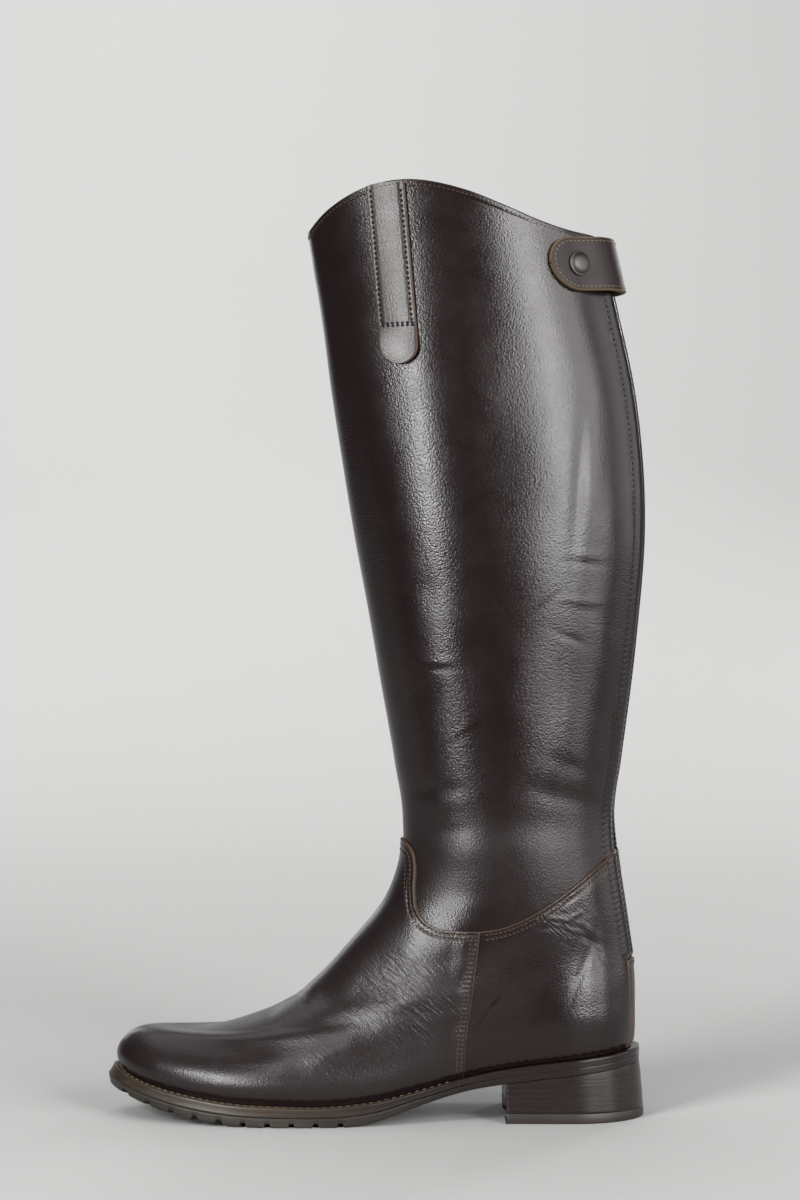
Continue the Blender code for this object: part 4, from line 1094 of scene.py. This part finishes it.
def edge_material(name, main, streak, deep, gloss, line_mm, rear=None):
    """A burnished edge: streaks that run along the boot, worn lighter and darker in patches.

    The attribute rear blends to the colour and the polish of the dyed heel."""
    tree, shader, made = new_material(name, IOR=1.4)
    place = add_node(tree, "ShaderNodeTexCoord").outputs["Object"]
    stretch = add_node(tree, "ShaderNodeMapping", None,
                       {"Scale": [1 / (size * MM) for size in (30, 30, line_mm)]}, {"Vector": place})
    line = add_node(tree, "ShaderNodeTexNoise", values={"Scale": 1.0, "Detail": 5.0, "Roughness": 0.6},
                    links={"Vector": stretch.outputs["Vector"]})
    patch = add_node(tree, "ShaderNodeTexNoise", values={"Scale": 1 / (22 * MM), "Detail": 3.0},
                     links={"Vector": place})
    tone = add_node(tree, "ShaderNodeValToRGB", links={"Fac": line.outputs["Fac"]})
    for stop, position, colour in zip(tone.color_ramp.elements, (0.36, 0.68), (main, streak)):
        stop.position = position
        stop.color = linear(colour)
    worn = add_node(tree, "ShaderNodeMapRange", values={"From Min": 0.4, "From Max": 0.7, "To Max": 0.75},
                    links={"Value": patch.outputs["Fac"]})
    shade = add_node(tree, "ShaderNodeMix", {"data_type": "RGBA"}, {"B": linear(deep)},
                     {"Factor": worn.outputs["Result"], "A": tone.outputs["Color"]})
    rough = add_node(tree, "ShaderNodeMapRange", values={"To Min": gloss - 0.08, "To Max": gloss + 0.12},
                     links={"Value": line.outputs["Fac"]}).outputs["Result"]
    if rear:
        at_heel = add_node(tree, "ShaderNodeAttribute", {"attribute_name": "rear"}).outputs["Fac"]
        shade = add_node(tree, "ShaderNodeMix", {"data_type": "RGBA"}, {"B": linear(rear)},
                         {"Factor": at_heel, "A": shade.outputs["Result"]})
        rough = add_node(tree, "ShaderNodeMath", {"operation": "MULTIPLY_ADD"}, {1: HEEL_GLOSS - gloss},
                         {0: at_heel, 2: rough}).outputs[0]
    tree.links.new(shade.outputs["Result"], shader.inputs["Base Color"])
    tree.links.new(rough, shader.inputs["Roughness"])
    bump = add_node(tree, "ShaderNodeBump", None, {"Strength": 0.25, "Distance": 0.25 * MM},
                    {"Height": line.outputs["Fac"]})
    tree.links.new(bump.outputs["Normal"], shader.inputs["Normal"])
    return made


WELT_LEATHER = edge_material(
    "burnished_welt_leather", "241B14", "372D22", "1C150F", 0.38, 1.2, rear="120A08")


def heel_dye(rings):
    """How far the heel's dark dye has been carried forward along the edge."""
    return {"rear": ease(-65, 30, rings[..., 0])}


def make_welt():
    """Rings from under the upper out over the stitch channel, round the edge and back to the outsole."""
    rings = ((8.0, 0.0, 0.9), (4.2, 0.0, 0.9), (3.3, -0.05, 0.9), (2.9, -0.5, 0.9), (2.3, -0.55, 0.9),
             (1.9, -0.1, 0.9), (1.2, 0.0, 0.9), (0.7, -0.08, 0.88), (0.3, -0.35, 0.86), (0.05, -0.9, 0.8))
    upper = [sole_ring(inset, lambda x, d=drop: sole_top(x) + d, lean) for inset, drop, lean in rings]
    side = []
    for t in np.linspace(0.15, 1, 7):
        bulge = 0.12 * math.sin(math.pi * t)
        side.append(sole_ring(
            bulge, lambda x, t=t: sole_top(x) - 0.9 + t * (split_line(x) + 1.3 - sole_top(x)), 0.8 - 0.6 * t))
    rings = ((0.15, 0.2, 0.18), (0.5, 0.05, 0.15), (1.5, 0.0, 0.15))
    lower = [sole_ring(inset, lambda x, d=rise: split_line(x) + d, lean) for inset, rise, lean in rings]
    rings = np.array(upper + side + lower)
    return grid_object("welt_plate", rings, WELT_LEATHER, closed=True, flip=True, attributes=heel_dye(rings))


piece = make_welt()
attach(piece, "root")
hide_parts("welt")

ring = sole_ring(2.6, lambda x: sole_top(x) - 0.35, 0.9)
ring = np.concatenate([ring[len(RING_SHARE):], ring[:len(RING_SHARE)]])
ring = ring[ring[:, 0] < 40]
rows = [(ring, np.broadcast_to([0.0, 0.0, 1.0], ring.shape))]
piece = grid_object("welt_stitches", stitches(rows, 4.0, 3.4, 0.75, 0.25), TAN_THREAD, closed=True)
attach(piece, "root")

# Outsole: one sheet of dark moulded rubber, glued under the welt and trimmed flush with it.
# It has a toe spring, an arch before the heel, and cross grooves between the lugs of the forefoot.
TREAD_PITCH = 12.2
TREAD_GROOVE = 3.2
TREAD_DEPTH = 2.0
TREAD_FRONT = -127.0
TREAD_ROWS = 10
SOLE_RUBBER = edge_material("sole_rubber", "1F1A15", "302A23", "191512", 0.5, 1.0, rear="120A08")


def tread(x):
    """The depth of the grooves: a flat-bottomed trough at each pitch, none behind the ball."""
    row = np.clip(np.round((x - TREAD_FRONT) / TREAD_PITCH), 0, TREAD_ROWS - 1)
    away = np.abs(x - TREAD_FRONT - row * TREAD_PITCH)
    return TREAD_DEPTH * (1 - ease(TREAD_GROOVE / 2 - 0.5, TREAD_GROOVE / 2 + 0.3, away))


def lug_face(x):
    """The height of the underside with its grooves."""
    return sole_bottom(x) + tread(x)


def make_outsole():
    """Rings from the split line down the side and over the lugs to the middle of the underside."""
    rings = ((1.2, -0.05, 0.1), (0.5, 0.0, 0.1), (0.15, 0.15, 0.05), (0.0, 0.5, 0.0))
    top = [sole_ring(inset, lambda x, d=drop: split_line(x) - d, lean) for inset, drop, lean in rings]
    side = []
    for t in (0.3, 0.6, 1.0):
        side.append(sole_ring(
            0.2 * t, lambda x, t=t: (split_line(x) - 0.5) * (1 - t) + (lug_face(x) + 0.9) * t, 0.2 * t))
    rings = ((0.3, 0.4, 0.4), (0.6, 0.12, 0.5), (1.0, 0.0, 0.6), (8, 0, 0.6), (20, 0, 0.6), (32, 0, 0.6),
             (44, 0, 0.6))
    under = [sole_ring(inset, lambda x, d=rise: lug_face(x) + d, lean) for inset, rise, lean in rings]
    rings = np.array(top + side + under)
    dye = heel_dye(rings)
    return grid_object("outsole_rubber", rings, SOLE_RUBBER, closed=True, flip=True, attributes=dye)


piece = make_outsole()
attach(piece, "root")
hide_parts("outsole")

# Heel: a block of stacked leather, trimmed with the sole's edge, dyed dark and polished.
# Fine level lines show its layers. A rubber lift is nailed on below.
HEEL_BREAST = 66.0
HEEL_BACK = 137.6
TOP_LIFT = 5.2
STACK_LEATHER = edge_material("polished_stacked_leather", "120A08", "1C120D", "0F0807", HEEL_GLOSS, 0.9)
LIFT_RUBBER = edge_material("lift_rubber", "1C1614", "28221F", "171210", 0.42, 0.8)


def heel_ring(margin, back, height_of):
    """A closed ring of the heel: its outer side, the back, its inner side and a hollowed breast."""
    t = np.linspace(0, 1, 90)
    x = HEEL_BREAST + np.sin(np.pi / 2 * t) * (back - HEEL_BREAST)
    outer, inner = plan(SOLE_MARGIN + margin, SOLE_FRONT, back, x)
    across = np.linspace(0, 1, 30)[1:-1]
    breast_y = inner[0] + across * (outer[0] - inner[0])
    breast_x = HEEL_BREAST + 2.2 * np.sin(np.pi * across)
    xs = np.concatenate([x, x[-2::-1], breast_x])
    ys = np.concatenate([outer, inner[-2::-1], breast_y])
    return np.stack([xs, ys, height_of(xs) * np.ones_like(xs)], axis=-1)


def make_heel():
    """Rings from the outsole down; the back flares a little towards the floor."""
    rings = []
    for t in np.concatenate([[0.0, 0.02, 0.05], np.linspace(0.1, 0.95, 16), [0.98, 1.0]]):
        margin = -0.1 + 0.45 * t - 0.4 * edge_drop((1 - t) * 25, 0.4)
        back = SOLE_BACK - 0.2 + (HEEL_BACK - SOLE_BACK) * t ** 0.8
        rings.append(heel_ring(
            margin, back, lambda x, t=t: (sole_bottom(x) - 0.25) * (1 - t) + (TOP_LIFT + 0.15) * t))
    return grid_object("heel_block", np.array(rings), STACK_LEATHER, closed=True, flip=True)


def make_lift():
    """Rings round the lift's edge and in to the middle of its underside."""
    rings = ((-0.2, -0.7, 5.2), (0.2, -0.3, 5.15), (0.35, -0.15, 4.9), (0.45, -0.05, 2.6), (0.5, 0.0, 0.7),
             (0.35, -0.15, 0.2), (0.0, -0.6, 0.0), (-8, -8, 0.0), (-18, -18, 0.0), (-28, -28, 0.0))
    rings = [heel_ring(margin, HEEL_BACK + back, lambda x, z=z: z) for margin, back, z in rings]
    return grid_object("heel_lift", np.array(rings), LIFT_RUBBER, closed=True, flip=True)


for piece, node in ((make_heel(), "heel_stack"), (make_lift(), "top_lift")):
    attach(piece, "root")
    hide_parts(node)

# Floor, light and camera: a pale sweep of matt paper that ends a little in front of the boot.
# Soft boxes stand to the left and right of the camera, weak ones behind light the inner side, and two large
# ones above light the paper. The camera looks level at the outer side from 1.55 m.
tree, shader, PAPER = new_material("grey_background_paper", Base_Color=linear("AAAAA9"), Roughness=0.7)
bend = np.linspace(0, np.pi / 2, 24)
sweep_y = np.concatenate([[-380.0], 1400 + 2400 * np.sin(bend), [3800.0]])
sweep_z = np.concatenate([[0.0], 2400 - 2400 * np.cos(bend), [4200.0]])
paper = np.stack([np.stack([np.full_like(sweep_y, x), sweep_y, sweep_z], axis=-1)
                  for x in (-2600.0, 2600.0)], axis=1)
floor = grid_object("paper_sweep", paper, PAPER, flip=True)


def soft_box(name, degrees, distance, height, width, tall, power):
    """A rectangular lamp so many degrees to the right of the camera's axis, facing the boot."""
    lamp = bpy.data.lights.new(name, "AREA")
    lamp.shape, lamp.size, lamp.size_y, lamp.energy = "RECTANGLE", width, tall, power
    made = bpy.data.objects.new(name, lamp)
    bpy.context.scene.collection.objects.link(made)
    angle = math.radians(degrees)
    made.location = (0.05 + distance * math.sin(angle), -distance * math.cos(angle), height)
    made.rotation_euler = (math.pi / 2, 0, angle)
    return made


soft_box("left_soft_box", -32, 2.7, 0.51, 0.54, 0.84, 44)
soft_box("high_left_soft_box", -40, 2.7, 1.55, 0.9, 0.9, 80)
soft_box("right_soft_box", 32.4, 2.7, 0.98, 1.02, 1.65, 84)
soft_box("far_right_soft_box", 57, 2.7, 0.9, 0.9, 1.8, 38)
soft_box("side_right_soft_box", 93, 2.7, 0.85, 1.6, 1.5, 17)
soft_box("inner_left_soft_box", 153, 2.7, 1.25, 0.4, 1.4, 15)
soft_box("inner_right_soft_box", 207, 2.7, 1.25, 0.4, 1.4, 5)
front = soft_box("front_soft_box", -20, 2.0, 2.4, 0.7, 0.5, 11)
front.rotation_euler.x = math.radians(50)
top = soft_box("top_soft_box", 0, 0.0, 2.6, 2.6, 1.8, 21)
top.location = (-0.8, 0.8, 2.6)
top.rotation_euler = (0, 0, 0)
back = soft_box("paper_soft_box", 0, 0.0, 2.6, 2.6, 1.0, 74)
back.location = (-0.6, 1.2, 2.6)
back.rotation_euler = (math.radians(66), 0, 0)
# The room beyond the paper is dim for the boot's reflections, and shows as pale as the paper itself.
world = bpy.data.worlds.new("studio")
bpy.context.scene.world = world
world.use_nodes = True
room = world.node_tree.nodes["Background"]
room.inputs["Color"].default_value = linear("E6E8EA")
seen = add_node(world.node_tree, "ShaderNodeLightPath").outputs["Is Camera Ray"]
strength = add_node(world.node_tree, "ShaderNodeMapRange", values={"To Min": 0.1, "To Max": 0.95},
                    links={"Value": seen})
world.node_tree.links.new(strength.outputs["Result"], room.inputs["Strength"])

camera = bpy.data.cameras.new("camera")
camera.sensor_fit, camera.sensor_height, camera.lens = "VERTICAL", 36.0, 90.47
eye = bpy.data.objects.new("camera", camera)
bpy.context.scene.collection.objects.link(eye)
eye.location = (0.0126, -1.55, 0.2635)
eye.rotation_euler = (math.pi / 2, 0, 0)
bpy.context.scene.camera = eye
bpy.context.scene.view_settings.view_transform = "Standard"
